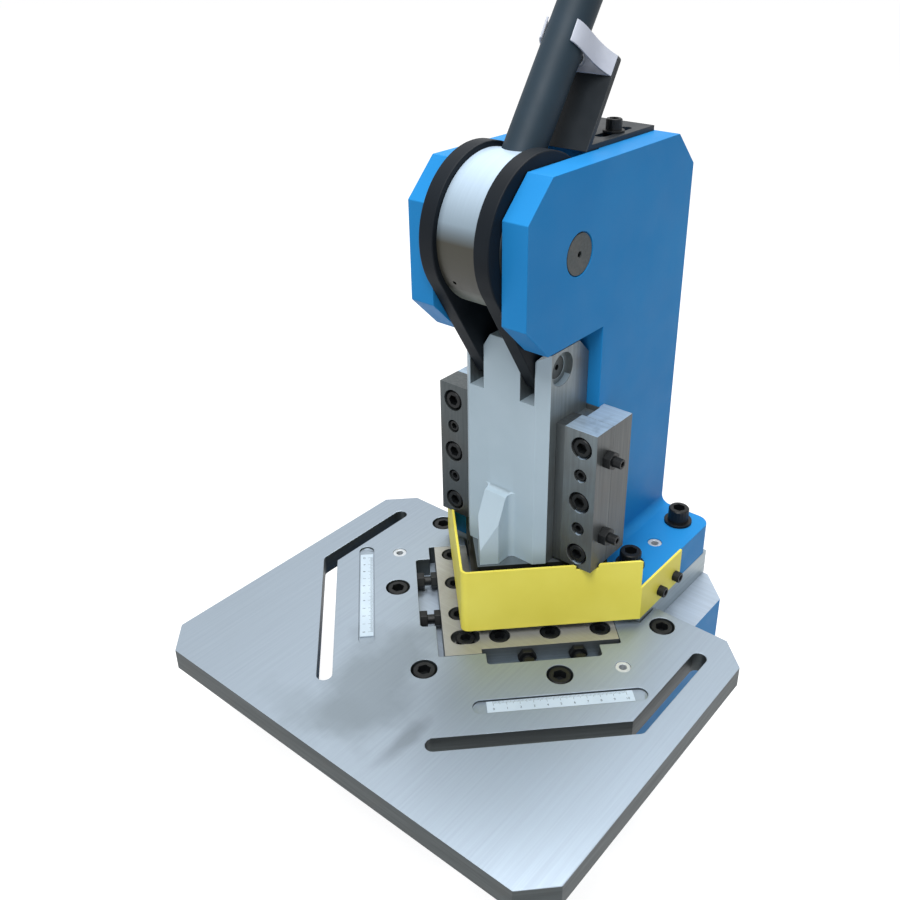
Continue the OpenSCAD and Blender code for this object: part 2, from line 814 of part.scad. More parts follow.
module gib_lock_nuts() {
    color("dimgray") for (z = gib_screw_z)
        translate([guide_w / 2, gib_screw_y, z]) rotate([0, 90, 0]) difference() {
        cylinder(d = nut_width(m8) / cos(30), h = nut_h, $fn = 6);
        translate([0, 0, -over]) cylinder(d = m8 + 2 * fit, h = nut_h + 2 * over);
    }
}

// The guard seen from above, one bent strip as thick as the sheet: tab, wing, bend, wing, tab.
module guard_plan() {
    mid = guard_bend * root2 - guard_apex;
    xi = guard_x - guard_t;
    yi = xi - guard_apex + guard_t * root2;
    ri = guard_bend - guard_t;
    outer = [for (a = [-135 : 10 : -45]) [guard_bend * cos(a), mid + guard_bend * sin(a)]];
    inner = [for (a = [-45 : -10 : -135]) [ri * cos(a), mid + ri * sin(a)]];
    polygon(concat([[-guard_x, tab_end], [-guard_x, guard_x - guard_apex]], outer,
                   [[guard_x, guard_x - guard_apex], [guard_x, tab_end], [xi, tab_end], [xi, yi]], inner,
                   [[-xi, yi], [-xi, tab_end]]));
}

module guard() {
    color("khaki") difference() {
        translate([0, 0, guard_bottom]) linear_extrude(guard_top - guard_bottom) guard_plan();
        block([-guard_x - over, guard_x - guard_apex - 0.5, tab_top],
              [guard_x + over, tab_end + over, guard_top + over]);
        both() block([gib_x - over, -guide_front - 2, guide_bottom - 1],
                     [guide_w / 2 + 1, guide_seam, guard_top + over]);
        both() for (y = tab_screw_y) translate([flange_w / 2 - over, y, tab_screw_z])
            rotate([0, 90, 0]) cylinder(d = m6 + 2 * fit, h = guard_t + 2 * over);
    }
}

module guard_screws() {
    color("dimgray") both() for (y = tab_screw_y) translate([guard_x, y, tab_screw_z])
        rotate([0, 90, 0]) cap_screw(m6, tab_screw_len);
}

module pivot_shaft() {
    half = column_w / 2 - 0.3;
    color("silver") translate([-half, 0, pivot_z]) rotate([0, 90, 0]) difference() {
        cylinder(d = shaft_d, h = 2 * half);
        translate([0, 0, -over]) cylinder(d = 4, h = 5 + over);
        translate([0, 0, 2 * half - 5]) cylinder(d = 4, h = 5 + over);
    }
}

bush_od = shaft_d + 2 * run + 2 * bush_wall;

module pivot_bush() {
    translate([link_out - bush_len - 0.1, 0, pivot_z]) rotate([0, 90, 0]) difference() {
        cylinder(d = bush_od, h = bush_len);
        translate([0, 0, -over]) cylinder(d = shaft_d + 2 * run, h = bush_len + 2 * over);
    }
}

module pivot_bush_left() {
    color("goldenrod") mirror([1, 0, 0]) pivot_bush();
}

module pivot_bush_right() {
    color("goldenrod") pivot_bush();
}

module eccentric_drum() {
    oil_angle = 210;
    oil_at = ecc + (drum_d / 2 - 6) * [cos(oil_angle), sin(oil_angle)];
    color("gainsboro") difference() {
        union() {
            yz(-drum_w / 2, drum_w / 2) translate(ecc) circle(d = drum_d);
            yz(0.1 - link_out, link_out - 0.1) translate(ecc) circle(d = journal_d - 2 * run);
        }
        yz(-column_w, column_w) translate([0, pivot_z]) circle(d = bush_od + 2 * fit);
        on_handle() translate([0, 0, tube_exit - tube_seat]) cylinder(d = tube_d + 2 * fit, h = drum_d);
        on_handle() translate([0, 0, tube_exit - tube_seat - stud_drop])
            cylinder(d = tube_bore, h = tube_seat);
        translate([-8, oil_at[0], oil_at[1]]) rotate([oil_angle - 90, 0, 0]) cylinder(d = 3, h = 12);
    }
}

module link_plan() {
    d = pin - ecc;
    r1 = ring_d / 2;
    r2 = link_eye_d / 2;
    toward = atan2(d[1], d[0]);
    spread = acos((r1 - r2) / norm(d));
    difference() {
        union() {
            translate(ecc) circle(r1);
            translate(pin) circle(r2);
            polygon([for (s = [[ecc, r1, -1], [pin, r2, -1], [pin, r2, 1], [ecc, r1, 1]])
                s[0] + (s[1] - 0.1) * [cos(toward + s[2] * spread), sin(toward + s[2] * spread)]]);
        }
        translate(ecc) circle(d = journal_d);
        translate(pin) circle(d = link_pin_d + 2 * link_play);
    }
}

module link_left() {
    color("darkslategray") yz(-link_out, -link_in) link_plan();
}

module link_right() {
    color("darkslategray") yz(link_in, link_out) link_plan();
}

pin_sink = 5.3;

module link_pin() {
    half = half_ram - pin_sink;
    color("silver") translate([-half, pin[0], pin[1]]) rotate([0, 90, 0]) difference() {
        cylinder(d = link_pin_d, h = 2 * half);
        translate([0, 0, -over]) cylinder(d = 4, h = 4 + over);
        translate([0, 0, 2 * half - 4]) cylinder(d = 4, h = 4 + over);
    }
}

function from_blade(along, in) = [(along - in) / root2, (along + in) / root2 - die_apex];
punch_front = from_blade(blade_screws_at[0] + punch_front_step, punch_front_in);
punch_rear = from_blade(blade_screws_at[1] - punch_rear_step, punch_rear_in);
punch_spots = [for (x = [-1, 1], p = [punch_front, punch_rear]) [x * p[0], p[1]]];
punch_screw_len = 40;

module ram_plan() {
    c = ram_cut;
    polygon([[c - half_ram, -ram_front], [half_ram - c, -ram_front], [half_ram, c - ram_front],
             [half_ram, ram_rear], [-half_ram, ram_rear], [-half_ram, c - ram_front]]);
}

module nose_plan() {
    half = nose_w / 2;
    side = half - nose_front;
    r = nose_fillet;
    difference() {
        polygon([[0, -nose_front], [half, side], [half, -ram_front - r], [half + r, -ram_front - r],
                 [half + r, over - ram_front], [-half - r, over - ram_front], [-half - r, -ram_front - r],
                 [-half, -ram_front - r], [-half, side]]);
        for (x = [-half - r, half + r]) translate([x, -ram_front - r]) circle(r);
    }
}

module nose() {
    intersection() {
        translate([0, 0, ram_bottom]) linear_extrude(nose_top - ram_bottom) nose_plan();
        yz(-ram_w, ram_w)
            polygon([[-nose_front, ram_bottom], [over - ram_front, ram_bottom], [over - ram_front, nose_top],
                                   [-ram_front, nose_top], [-28, nose_top - 2], [-nose_front, nose_edge_z]]);
    }
}

module ram() {
    slot_out = link_out + 0.6;
    half_tongue = tongue_w / 2;
    c = ram_rear_cut;
    color("lightsteelblue") difference() {
        union() {
            intersection() {
                translate([0, 0, ram_bottom]) linear_extrude(tongue_top - ram_bottom) ram_plan();
                yz(-ram_w, ram_w)
                    polygon([[-ram_front, ram_bottom], [ram_rear, ram_bottom], [ram_rear, ram_top - c],
                             [ram_rear - c, ram_top], [ram_rear - c, tongue_top], [-ram_front, tongue_top]]);
            }
            block([-rib_x, guide_seam + run, guide_bottom + 4], [rib_x, ram_rear, guide_top - 4]);
            nose();
        }
        both() {
            block([tongue_w / 2, -ram_front - over, slot_bottom],
                  [slot_out, ram_rear + over, tongue_top + over]);
            block([slot_out - over, -ram_front - over, ram_top], [ram_w, ram_rear + over, tongue_top + over]);
            xz(-ram_front - over, ram_rear + over)
                polygon([[half_tongue + over, tongue_top - 11], [half_tongue + over, tongue_top + over],
                         [half_tongue - 7, tongue_top + over], [half_tongue - 6, tongue_top],
                         [half_tongue, tongue_top - 10]]);
            xz(-ram_front - over, ram_rear + over)
                polygon([[slot_out - over, ram_top - 6], [slot_out + 5, ram_top + over],
                         [slot_out - over, ram_top + over]]);
            translate([half_ram - pin_sink, pin[0], pin[1]]) rotate([0, 90, 0])
                cylinder(d = 26, h = pin_sink + over);
        }
        translate([-ram_w, pin[0], pin[1]]) rotate([0, 90, 0])
            cylinder(d = link_pin_d + 2 * fit, h = 2 * ram_w);
        at(punch_spots, ram_bottom - over)
            cylinder(d = m10 + 2 * fit, h = punch_screw_len - holder_h + m10 + 12);
    }
}

module punch_v(inset, side) {
    s = side - inset;
    apex = inset * root2 - die_apex;
    back = column_front - 2.5;
    x = side / root2;
    polygon([[0, apex], [x - inset / root2, x - die_apex + inset / root2], [x - 14, back], [14 - x, back],
             [inset / root2 - x, x - die_apex + inset / root2]]);
}

module punch_holder() {
    color("gray") difference() {
        union() {
            translate([0, 0, blade_top]) linear_extrude(ram_bottom - blade_top) punch_v(cut_clear, blade_len);
            translate([0, 0, holder_z]) linear_extrude(blade_top - holder_z + over)
                punch_v(cut_clear + blade_t, blade_len);
        }
        at(punch_spots, ram_bottom - over) mirror([0, 0, 1]) {
            translate([0, 0, -2 * over]) cylinder(d = m10 + 2 * fit, h = holder_h + 4 * over);
            translate([0, 0, holder_h - cap_10_depth - over]) cylinder(d = 17, h = cap_10_depth + 2 * over);
        }
        both() for (s = blade_screws_at) arm() translate([s, cut_clear, blade_screw_z])
            rotate([-90, 0, 0]) cylinder(d = m6 + 2 * fit, h = blade_t + 16);
    }
}

module punch_screws() {
    color("dimgray") at(punch_spots, holder_z + cap_10_depth)
        mirror([0, 0, 1]) cap_screw(m10, punch_screw_len);
}

blade_screw_z = blade_z + blade_h / 2 + 1;
blade_screw_len = 18;

module upper_blade(start) {
    arm() difference() {
        translate([0, blade_t + cut_clear, 0]) rotate([90, 0, 0]) linear_extrude(blade_t)
            polygon([[start, blade_z + blade_rake * start / blade_len], [blade_len, blade_z + blade_rake],
                     [blade_len, blade_top], [start, blade_top]]);
        for (s = blade_screws_at) translate([s, cut_clear, blade_screw_z]) rotate([-90, 0, 0]) {
            translate([0, 0, -over]) cylinder(d = m6 + 2 * fit, h = blade_t + 2 * over);
            translate([0, 0, -over]) cylinder(d = 11, h = m6 + 0.5 + over);
        }
    }
}

module upper_blade_left() {
    color("dimgray") mirror([1, 0, 0]) upper_blade(blade_t + cut_clear);
}

module upper_blade_right() {
    color("dimgray") upper_blade(cut_clear);
}

module blade_screws() {
    color("black") both() arm() for (s = blade_screws_at)
        translate([s, cut_clear + m6 + 0.5, blade_screw_z]) rotate([90, 0, 0]) cap_screw(m6, blade_screw_len);
}

module handle_tube() {
    color("dimgray") on_handle() translate([0, 0, tube_exit - tube_seat]) difference() {
        cylinder(d = tube_d, h = tube_seat + tube_out);
        translate([0, 0, -over]) cylinder(d = tube_bore + 2 * fit, h = tube_seat + tube_out + 2 * over);
    }
}

module handle_stud() {
    color("gray") on_handle() translate([0, 0, tube_exit - tube_seat - stud_drop])
        cylinder(d = tube_bore - 2 * fit, h = 2.5 * tube_seat);
}

module handle_grip() {
    end = tube_exit + tube_out;
    color("black") on_handle() difference() {
        union() {
            translate([0, 0, end + 6 - grip_len]) cylinder(d = grip_d, h = grip_len - grip_d / 4);
            translate([0, 0, end + 6 - grip_d / 4]) cylinder(d1 = grip_d, d2 = grip_d * 0.7, h = grip_d / 4);
        }
        translate([0, 0, end - grip_len]) cylinder(d = tube_d + 2 * fit, h = grip_len);
    }
}

// Side outline of the bracket: a leaning plate and a level foot, bent from one strip.
module rest_profile() {
    top = rest_len * rest_dir;
    skin = rest_t * [rest_dir[1], -rest_dir[0]];
    knee = rest_t * (1 + rest_dir[0]) / rest_dir[1];
    start = [rest_front, head_top];
    polygon([start, start + top, start + top + skin, start + skin + knee * rest_dir,
             [rest_end, head_top + rest_t], [rest_end, head_top]]);
}

module rest_bracket() {
    r = 3;
    half = rest_w / 2;
    color("dimgray") difference() {
        yz(-half, half) rest_profile();
        both() on_rest() difference() {
            block([half - r, -1, rest_len - r], [half + 1, rest_t + 1, rest_len + 1]);
            translate([half - r, -2, rest_len - r]) rotate([-90, 0, 0]) cylinder(r = r, h = rest_t + 4);
        }
        for (x = [-rest_slot_x, rest_slot_x])
            capsule([x, rest_slot_y - rest_slot_len / 2 + 4], [x, rest_slot_y + rest_slot_len / 2 - 4],
                    m8 + 0.6, head_top - over, head_top + rest_t + over);
        on_rest() translate([0, -over, clip_at]) rotate([-90, 0, 0])
            cylinder(d = m6 + 2 * fit, h = rest_t + 2 * over);
    }
}

rest_screw_spots = [[-rest_slot_x, rest_slot_y], [rest_slot_x, rest_slot_y]];

module rest_screws() {
    color("dimgray") at(rest_screw_spots, head_top + rest_t + washer_8) cap_screw(m8, 24);
}

module rest_washers() {
    color("dimgray") at(rest_screw_spots, head_top + rest_t) difference() {
        cylinder(d = 16, h = washer_8);
        translate([0, 0, -over]) cylinder(d = m8 + 2 * fit, h = washer_8 + 2 * over);
    }
}

// The clip's right arm runs from the web's end round the handle to its mouth.
clip_mouth = tube_d / 2 + 0.15;
clip_reach = 32;
clip_web = 28.5;
clip_outer = bezier([[clip_web, 0], [clip_web - 13, 12], [clip_mouth + clip_t + 1.5, clip_reach - 12],
                     [clip_mouth + clip_t, clip_reach]], 16);
clip_inner = bezier([[clip_web - 2 * clip_t, clip_t], [clip_web - 15, 13.5],
                     [clip_mouth + 1.5, clip_reach - 12], [clip_mouth, clip_reach]], 16);

module clip_plan() {
    n = len(clip_outer) - 1;
    polygon(concat(clip_outer, [for (i = [n : -1 : 0]) clip_inner[i]],
                   [for (p = clip_inner) [-p[0], p[1]]],
                   [for (i = [n : -1 : 0]) [-clip_outer[i][0], clip_outer[i][1]]]));
}

module handle_clip() {
    color("white") on_rest() difference() {
        translate([0, 0, clip_at - clip_w / 2]) mirror([0, 1, 0]) linear_extrude(clip_w) clip_plan();
        translate([0, -clip_t - over, clip_at]) rotate([-90, 0, 0])
            cylinder(d = m6 + 2 * fit, h = clip_t + 2 * over);
    }
}

module clip_screw() {
    color("silver") on_rest() translate([0, -clip_t, clip_at]) rotate([90, 0, 0]) difference() {
        union() {
            cylinder(d = 10, h = 3);
            translate([0, 0, -clip_t - rest_t - 7]) cylinder(d = m6, h = clip_t + rest_t + 7 + over);
        }
        translate([0, 0, 1.4]) cylinder(d = 4 / cos(30), h = 2, $fn = 6);
    }
}

module clip_nut() {
    color("silver") on_rest() translate([0, rest_t, clip_at]) rotate([-90, 0, 0]) difference() {
        cylinder(d = nut_width(m6) / cos(30), h = 5, $fn = 6);
        translate([0, 0, -over]) cylinder(d = m6 + 2 * fit, h = 5 + 2 * over);
    }
}

base_casting();
table_plate();
table_screws();
table_dowels();
scale_left();
scale_right();
spacer_plate();
column_casting();
column_screws();
column_washers();
column_dowels();
die_block_left();
die_block_right();
die_screws_left();
die_screws_right();
jack_screws();
jack_nuts();
guide_block();
guide_block_screws();
guide_cover_left();
guide_cover_right();
guide_screws();
guide_small_screws();
gib_strip_right();
gib_set_screws();
gib_lock_nuts();
guard();
guard_screws();
pivot_shaft();
pivot_bush_left();
pivot_bush_right();
eccentric_drum();
link_left();
link_right();
link_pin();
ram();
punch_holder();
punch_screws();
upper_blade_left();
upper_blade_right();
blade_screws();
handle_tube();
handle_stud();
handle_grip();
rest_bracket();
rest_screws();
rest_washers();
handle_clip();
clip_screw();
clip_nut();
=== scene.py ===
import json
import math

import bmesh
import bpy
from mathutils import Matrix, Vector


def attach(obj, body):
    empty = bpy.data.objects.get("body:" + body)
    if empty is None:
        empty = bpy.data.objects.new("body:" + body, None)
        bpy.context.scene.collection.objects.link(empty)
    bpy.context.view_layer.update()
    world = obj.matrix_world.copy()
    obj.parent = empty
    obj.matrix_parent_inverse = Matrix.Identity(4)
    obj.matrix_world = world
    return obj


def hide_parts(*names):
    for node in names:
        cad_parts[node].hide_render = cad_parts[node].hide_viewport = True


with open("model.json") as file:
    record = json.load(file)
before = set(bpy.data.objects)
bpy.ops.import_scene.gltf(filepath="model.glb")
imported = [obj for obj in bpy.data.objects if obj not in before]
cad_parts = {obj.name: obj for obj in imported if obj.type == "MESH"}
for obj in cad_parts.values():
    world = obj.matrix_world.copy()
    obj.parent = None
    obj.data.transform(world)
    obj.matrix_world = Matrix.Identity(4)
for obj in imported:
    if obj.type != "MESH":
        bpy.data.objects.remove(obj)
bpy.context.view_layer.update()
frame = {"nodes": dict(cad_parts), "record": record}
rootHalf = math.sqrt(0.5)
print("frame loaded:", len(frame["nodes"]), "nodes")


# what all finishes share: sizes count per metre, and depths are in metres
noiseSpan = (0.3, 0.7)  # the part of a noise that is stretched to its full reach
paintSurface = dict(patchSpan=(0.35, 0.7), dullSize=45, castDepth=0.0006, peelSize=900,
                    peelDepth=0.0002, coatRoughness=0.25)
steelSurface = dict(dullSpan=(0.25, 0.75), stainBand=0.22, grainDepth=0.0001)
smudgeEdge = dict(size=26, ragged=0.35, inner=0.45, outer=1.15)


def linear(code):
    parts = [int(code[i:i + 2], 16) / 255 for i in (1, 3, 5)]
    return tuple(c / 12.92 if c < 0.04045 else ((c + 0.055) / 1.055) ** 2.4 for c in parts) + (1,)


def addNode(tree, kind, **sockets):
    made = tree.nodes.new(kind)
    for name, value in sockets.items():
        made.inputs[name.replace("_", " ")].default_value = value
    return made


def reckon(tree, kind, first, second):
    made = tree.nodes.new("ShaderNodeMath")
    made.operation = kind
    for socket, value in zip(made.inputs, (first, second)):
        if isinstance(value, (int, float)):
            socket.default_value = value
        else:
            tree.links.new(value, socket)
    return made.outputs[0]


def startMaterial(name):
    material = bpy.data.materials.new(name)
    material.use_nodes = True
    tree = material.node_tree
    return material, tree, tree.nodes["Principled BSDF"]


def coordinates(tree, scale=(1, 1, 1), turn=0):
    source = tree.nodes.new("ShaderNodeTexCoord")
    mapping = addNode(tree, "ShaderNodeMapping", Scale=scale, Rotation=(0, 0, turn))
    tree.links.new(source.outputs["Object"], mapping.inputs["Vector"])
    return mapping.outputs["Vector"]


def noise(tree, vector, scale, detail=3, rough=0.5, bend=0):
    made = addNode(tree, "ShaderNodeTexNoise", Scale=scale, Detail=detail, Roughness=rough,
                   Distortion=bend)
    tree.links.new(vector, made.inputs["Vector"])
    return made.outputs["Fac"]


def ramp(tree, value, low, high, first, last):
    made = addNode(tree, "ShaderNodeMapRange", From_Min=low, From_Max=high, To_Min=first,
                   To_Max=last)
    made.clamp = True
    tree.links.new(value, made.inputs["Value"])
    return made.outputs["Result"]


def mixColours(tree, factor, first, second):
    made = tree.nodes.new("ShaderNodeMix")
    made.data_type = "RGBA"
    tree.links.new(factor, made.inputs["Factor"])
    for socket, colour in ((made.inputs[6], first), (made.inputs[7], second)):
        if isinstance(colour, tuple):
            socket.default_value = colour
        else:
            tree.links.new(colour, socket)
    return made.outputs[2]


def bump(tree, height, strength, distance, under=None):
    made = addNode(tree, "ShaderNodeBump", Strength=strength, Distance=distance)
    tree.links.new(height, made.inputs["Height"])
    if under:
        tree.links.new(under, made.inputs["Normal"])
    return made.outputs["Normal"]


def smudge(tree, plain, centre, reach, angle, strength):
    place = addNode(tree, "ShaderNodeMapping", Location=centre,
                    Rotation=(0, 0, math.radians(angle)), Scale=(*reach, 1))
    place.vector_type = "TEXTURE"
    tree.links.new(plain, place.inputs["Vector"])
    far = tree.nodes.new("ShaderNodeVectorMath")
    far.operation = "LENGTH"
    tree.links.new(place.outputs[0], far.inputs[0])
    wave = ramp(tree, noise(tree, plain, smudgeEdge["size"]), *noiseSpan, -smudgeEdge["ragged"],
                smudgeEdge["ragged"])
    ragged = reckon(tree, "ADD", far.outputs["Value"], wave)
    return ramp(tree, ragged, smudgeEdge["inner"], smudgeEdge["outer"], strength, 0)


def paintFinish(look):
    material, tree, shader = startMaterial(look["name"])
    plain = coordinates(tree)
    patches = noise(tree, plain, look["patchSize"], detail=4)
    colour = mixColours(tree, ramp(tree, patches, *paintSurface["patchSpan"], 0, 1),
                        linear(look["colour"]), linear(look["shade"]))
    tree.links.new(colour, shader.inputs["Base Color"])
    dull = noise(tree, plain, paintSurface["dullSize"], detail=5)
    tree.links.new(ramp(tree, dull, *noiseSpan, *look["rough"]), shader.inputs["Roughness"])
    cast = noise(tree, plain, look["castSize"], detail=4)
    cast = bump(tree, cast, look["cast"], paintSurface["castDepth"])
    peel = noise(tree, plain, paintSurface["peelSize"], detail=2)
    peel = bump(tree, peel, look["peel"], paintSurface["peelDepth"], cast)
    tree.links.new(peel, shader.inputs["Normal"])
    shader.inputs["Specular IOR Level"].default_value = look.get("specular", 0.5)
    shader.inputs["Coat Weight"].default_value = look.get("coat", 0)
    shader.inputs["Coat Roughness"].default_value = paintSurface["coatRoughness"]
    return material


def steelFinish(look):
    material, tree, shader = startMaterial(look["name"])
    plain = coordinates(tree)
    grain = coordinates(tree, look["grain"], math.radians(look.get("turn", 0)))
    lines = noise(tree, grain, 1, detail=4, rough=0.6)
    colour = mixColours(tree, ramp(tree, lines, *noiseSpan, 0, 1), linear(look["colour"]),
                        linear(look["shade"]))
    cloud = noise(tree, plain, look["stainSize"], detail=5, rough=0.55, bend=0.8)
    stain = ramp(tree, cloud, look["stainFrom"], look["stainFrom"] + steelSurface["stainBand"],
                 0, look["stain"])
    colour = mixColours(tree, stain, colour, linear(look["stainColour"]))
    for centre, reach, angle, strength, dirt in look.get("smudges", ()):
        spot = smudge(tree, plain, centre, reach, angle, strength)
        colour = mixColours(tree, spot, colour, linear(dirt))
    # painted reflection: below each height the colour turns to the band's colour, as a mirrored
    # horizon
    for low, high, reflectionColour in look.get("paintedReflectionBands", ()):
        parts = tree.nodes.new("ShaderNodeSeparateXYZ")
        tree.links.new(plain, parts.inputs[0])
        above = ramp(tree, parts.outputs["Z"], low, high, 0, 1)
        colour = mixColours(tree, above, linear(reflectionColour), colour)
    tree.links.new(colour, shader.inputs["Base Color"])
    dull = ramp(tree, lines, *steelSurface["dullSpan"], *look["rough"])
    tree.links.new(dull, shader.inputs["Roughness"])
    shader.inputs["Metallic"].default_value = look["metal"]
    shader.inputs["Anisotropic"].default_value = look.get("stretch", 0)
    scratches = bump(tree, lines, look["depth"], steelSurface["grainDepth"])
    tree.links.new(scratches, shader.inputs["Normal"])
    return material


tableSmudges = (  # centre, reach, angle, strength, colour
    ((-0.022, -0.146, 0), (0.072, 0.042), 107, 0.6, "#6E7980"),
    ((-0.028, -0.194, 0), (0.050, 0.020), 5, 0.4, "#737E86"),
    ((0.037, -0.178, 0), (0.026, 0.008), 90, 0.6, "#68727A"),
)
drumPaintedReflection = (  # painted reflection of the drum's dark surroundings, in bands by height: the height where each starts and where it ends, and the colour below it
    (0.440, 0.476, "#7F919E"),
    (0.434, 0.447, "#3F3E36"),
    (0.384, 0.400, "#A3A9A1"),
)
paints = {
    "blue": dict(name="bluePaint", colour="#2486C8", shade="#1E7CBE", patchSize=7,
                 rough=(0.42, 0.52), castSize=70, cast=0.1, peel=0.1, specular=0.12),
    "yellow": dict(name="yellowPaint", colour="#F2E766", shade="#EADD56", patchSize=18,
                   rough=(0.42, 0.5), castSize=120, cast=0.03, peel=0.12, specular=0.25),
    "ramCoat": dict(name="ramCoating", colour="#B3C6D2", shade="#A8BCC8", patchSize=14,
                    rough=(0.4, 0.55), castSize=90, cast=0.05, peel=0.08),
    # the black finish also paints shade into the drum's holes
    "black": dict(name="blackOxideAndHoleShade", colour="#0F1113", shade="#16191B", patchSize=60,
                  rough=(0.38, 0.5), castSize=300, cast=0.05, peel=0.06, specular=0.25),
    "linkBlack": dict(name="linkBlack", colour="#0C1218", shade="#10171E", patchSize=22,
                      rough=(0.5, 0.62), castSize=160, cast=0.08, peel=0.1, specular=0.15),
    "tubeBlack": dict(name="tubeBlack", colour="#1F303C", shade="#192832", patchSize=22,
                      rough=(0.52, 0.6), castSize=160, cast=0.04, peel=0.06, specular=0.25),
    "satinBlack": dict(name="satinBlack", colour="#171E24", shade="#12181D", patchSize=22,
                       rough=(0.42, 0.56), castSize=160, cast=0.08, peel=0.1, specular=0.35),
    "grip": dict(name="gripRubber", colour="#101112", shade="#17181A", patchSize=40,
                 rough=(0.7, 0.8), castSize=400, cast=0.1, peel=0.3, specular=0.3),
    "strip": dict(name="scaleStrip", colour="#B9C9D6", shade="#AFBFCC", patchSize=40,
                  rough=(0.3, 0.36), castSize=200, cast=0.01, peel=0.02),
    "ink": dict(name="scaleInk", colour="#2B3036", shade="#343A40", patchSize=80,
                rough=(0.5, 0.6), castSize=200, cast=0.01, peel=0.02),
    "clip": dict(name="clipDip", colour="#BCC2CF", shade="#A8AEBD", patchSize=45,
                 rough=(0.32, 0.42), castSize=150, cast=0.06, peel=0.08, coat=0.2),
}
steels = {
    "table": dict(name="tableGround", colour="#94A1AD", shade="#8E9AA6", grain=(500, 12, 12),
                  turn=90, stainSize=7, stainFrom=0.5, stain=0.35, stainColour="#8D99A3",
                  rough=(0.38, 0.46), metal=0.62, depth=0.02, smudges=tableSmudges),
    "ground": dict(name="groundSteel", colour="#A3A5A2", shade="#999A96", grain=(12, 500, 12),
                   stainSize=24, stainFrom=0.55, stain=0.4, stainColour="#85806F",
                   rough=(0.36, 0.46), metal=0.5, depth=0.05, stretch=0.2),
    "milled": dict(name="milledSteel", colour="#7D868A", shade="#6C7478", grain=(14, 14, 420),
                   stainSize=18, stainFrom=0.5, stain=0.5, stainColour="#57534D",
                   rough=(0.36, 0.5), metal=0.75, depth=0.2),
    # the table's sides: milled steel, made darker still as a painted reflection of a dark floor
    "tableEdgeAndPaintedReflection": dict(name="tableEdgeAndPaintedReflection", colour="#484F51", shade="#3F4547", grain=(16, 16, 420),
                      stainSize=20, stainFrom=0.55, stain=0.4, stainColour="#4C4A46",
                      rough=(0.42, 0.55), metal=0.6, depth=0.2),
    "spacer": dict(name="spacerSteel", colour="#A4B0B6", shade="#96A2A8", grain=(14, 14, 420),
                   stainSize=18, stainFrom=0.55, stain=0.4, stainColour="#6E706E",
                   rough=(0.36, 0.5), metal=0.6, depth=0.12),
    "leftCover": dict(name="leftCover", colour="#565C5E", shade="#4A5052", grain=(420, 420, 16),
                      stainSize=14, stainFrom=0.46, stain=0.5, stainColour="#4A4844",
                      rough=(0.36, 0.5), metal=0.7, depth=0.2),
    # painted shade for the guides' faces toward ±x
    "sideSteelPaintedShade": dict(name="sideSteelPaintedShade", colour="#585C5D", shade="#4D5051", grain=(420, 420, 14),
                      stainSize=16, stainFrom=0.48, stain=0.6, stainColour="#57534E",
                      rough=(0.36, 0.48), metal=0.55, depth=0.12),
    "gib": dict(name="gibSteel", colour="#5C6264", shade="#4B5052", grain=(420, 420, 14),
                stainSize=18, stainFrom=0.5, stain=0.4, stainColour="#57534D", rough=(0.36, 0.5),
                metal=0.7, depth=0.25),
    # painted shade: the punch holder and upper blades under the ram are coloured near black
    "toolSteelInPaintedShade": dict(name="toolSteelInPaintedShade", colour="#2A2D2F", shade="#222527", grain=(14, 14, 420),
                      stainSize=18, stainFrom=0.5, stain=0.4, stainColour="#35322E",
                      rough=(0.36, 0.5), metal=0.5, depth=0.12),
    "dowel": dict(name="dowelSteel", colour="#C3C9CE", shade="#B2B8BD", grain=(200, 200, 20),
                  stainSize=40, stainFrom=0.6, stain=0.3, stainColour="#8C8F90",
                  rough=(0.34, 0.44), metal=0.35, depth=0.06),
    "guide": dict(name="guideSteel", colour="#757F83", shade="#666F73", grain=(420, 420, 16),
                  stainSize=14, stainFrom=0.46, stain=0.6, stainColour="#5C5852",
                  rough=(0.34, 0.48), metal=0.75, depth=0.2),
    # painted light for the guides' top faces
    "guideTopPaintedLight": dict(name="guideTopPaintedLight", colour="#AEC3D5", shade="#9DB1C2", grain=(12, 420, 12),
                     stainSize=40, stainFrom=0.5, stain=0.5, stainColour="#5F6C7A",
                     rough=(0.34, 0.46), metal=0.35, depth=0.12),
    "baseTop": dict(name="baseTop", colour="#A8B6C5", shade="#9BA8B6", grain=(12, 420, 12),
                    stainSize=16, stainFrom=0.55, stain=0.4, stainColour="#8D9499",
                    rough=(0.36, 0.48), metal=0.4, depth=0.1),
    "drum": dict(name="drumSteel", colour="#B6CADC", shade="#AEC2D4", grain=(500, 14, 14),
                 stainSize=30, stainFrom=0.6, stain=0.3, stainColour="#8E9496",
                 rough=(0.36, 0.42), metal=0.3, depth=0.01, paintedReflectionBands=drumPaintedReflection),
    "bright": dict(name="brightSteel", colour="#D5D9DD", shade="#C2C6CA", grain=(500, 14, 14),
                   stainSize=30, stainFrom=0.6, stain=0.3, stainColour="#9A978E",
                   rough=(0.2, 0.32), metal=0.9, depth=0.08, stretch=0.4),
    "ramSide": dict(name="ramSide", colour="#868F92", shade="#767D80", grain=(420, 420, 14),
                    stainSize=16, stainFrom=0.48, stain=0.6, stainColour="#6A645C",
                    rough=(0.34, 0.46), metal=0.7, depth=0.2),
    "turned": dict(name="turnedSteel", colour="#42484A", shade="#373C3E", grain=(40, 500, 500),
                   stainSize=40, stainFrom=0.5, stain=0.4, stainColour="#5E5A55",
                   rough=(0.34, 0.46), metal=0.8, depth=0.12),
    "bronze": dict(name="bronze", colour="#C09A5A", shade="#A8834A", grain=(400, 14, 14),
                   stainSize=40, stainFrom=0.55, stain=0.4, stainColour="#7D6238",
                   rough=(0.32, 0.44), metal=0.85, depth=0.1),
}
finishes = {key: paintFinish(look) for key, look in paints.items()}
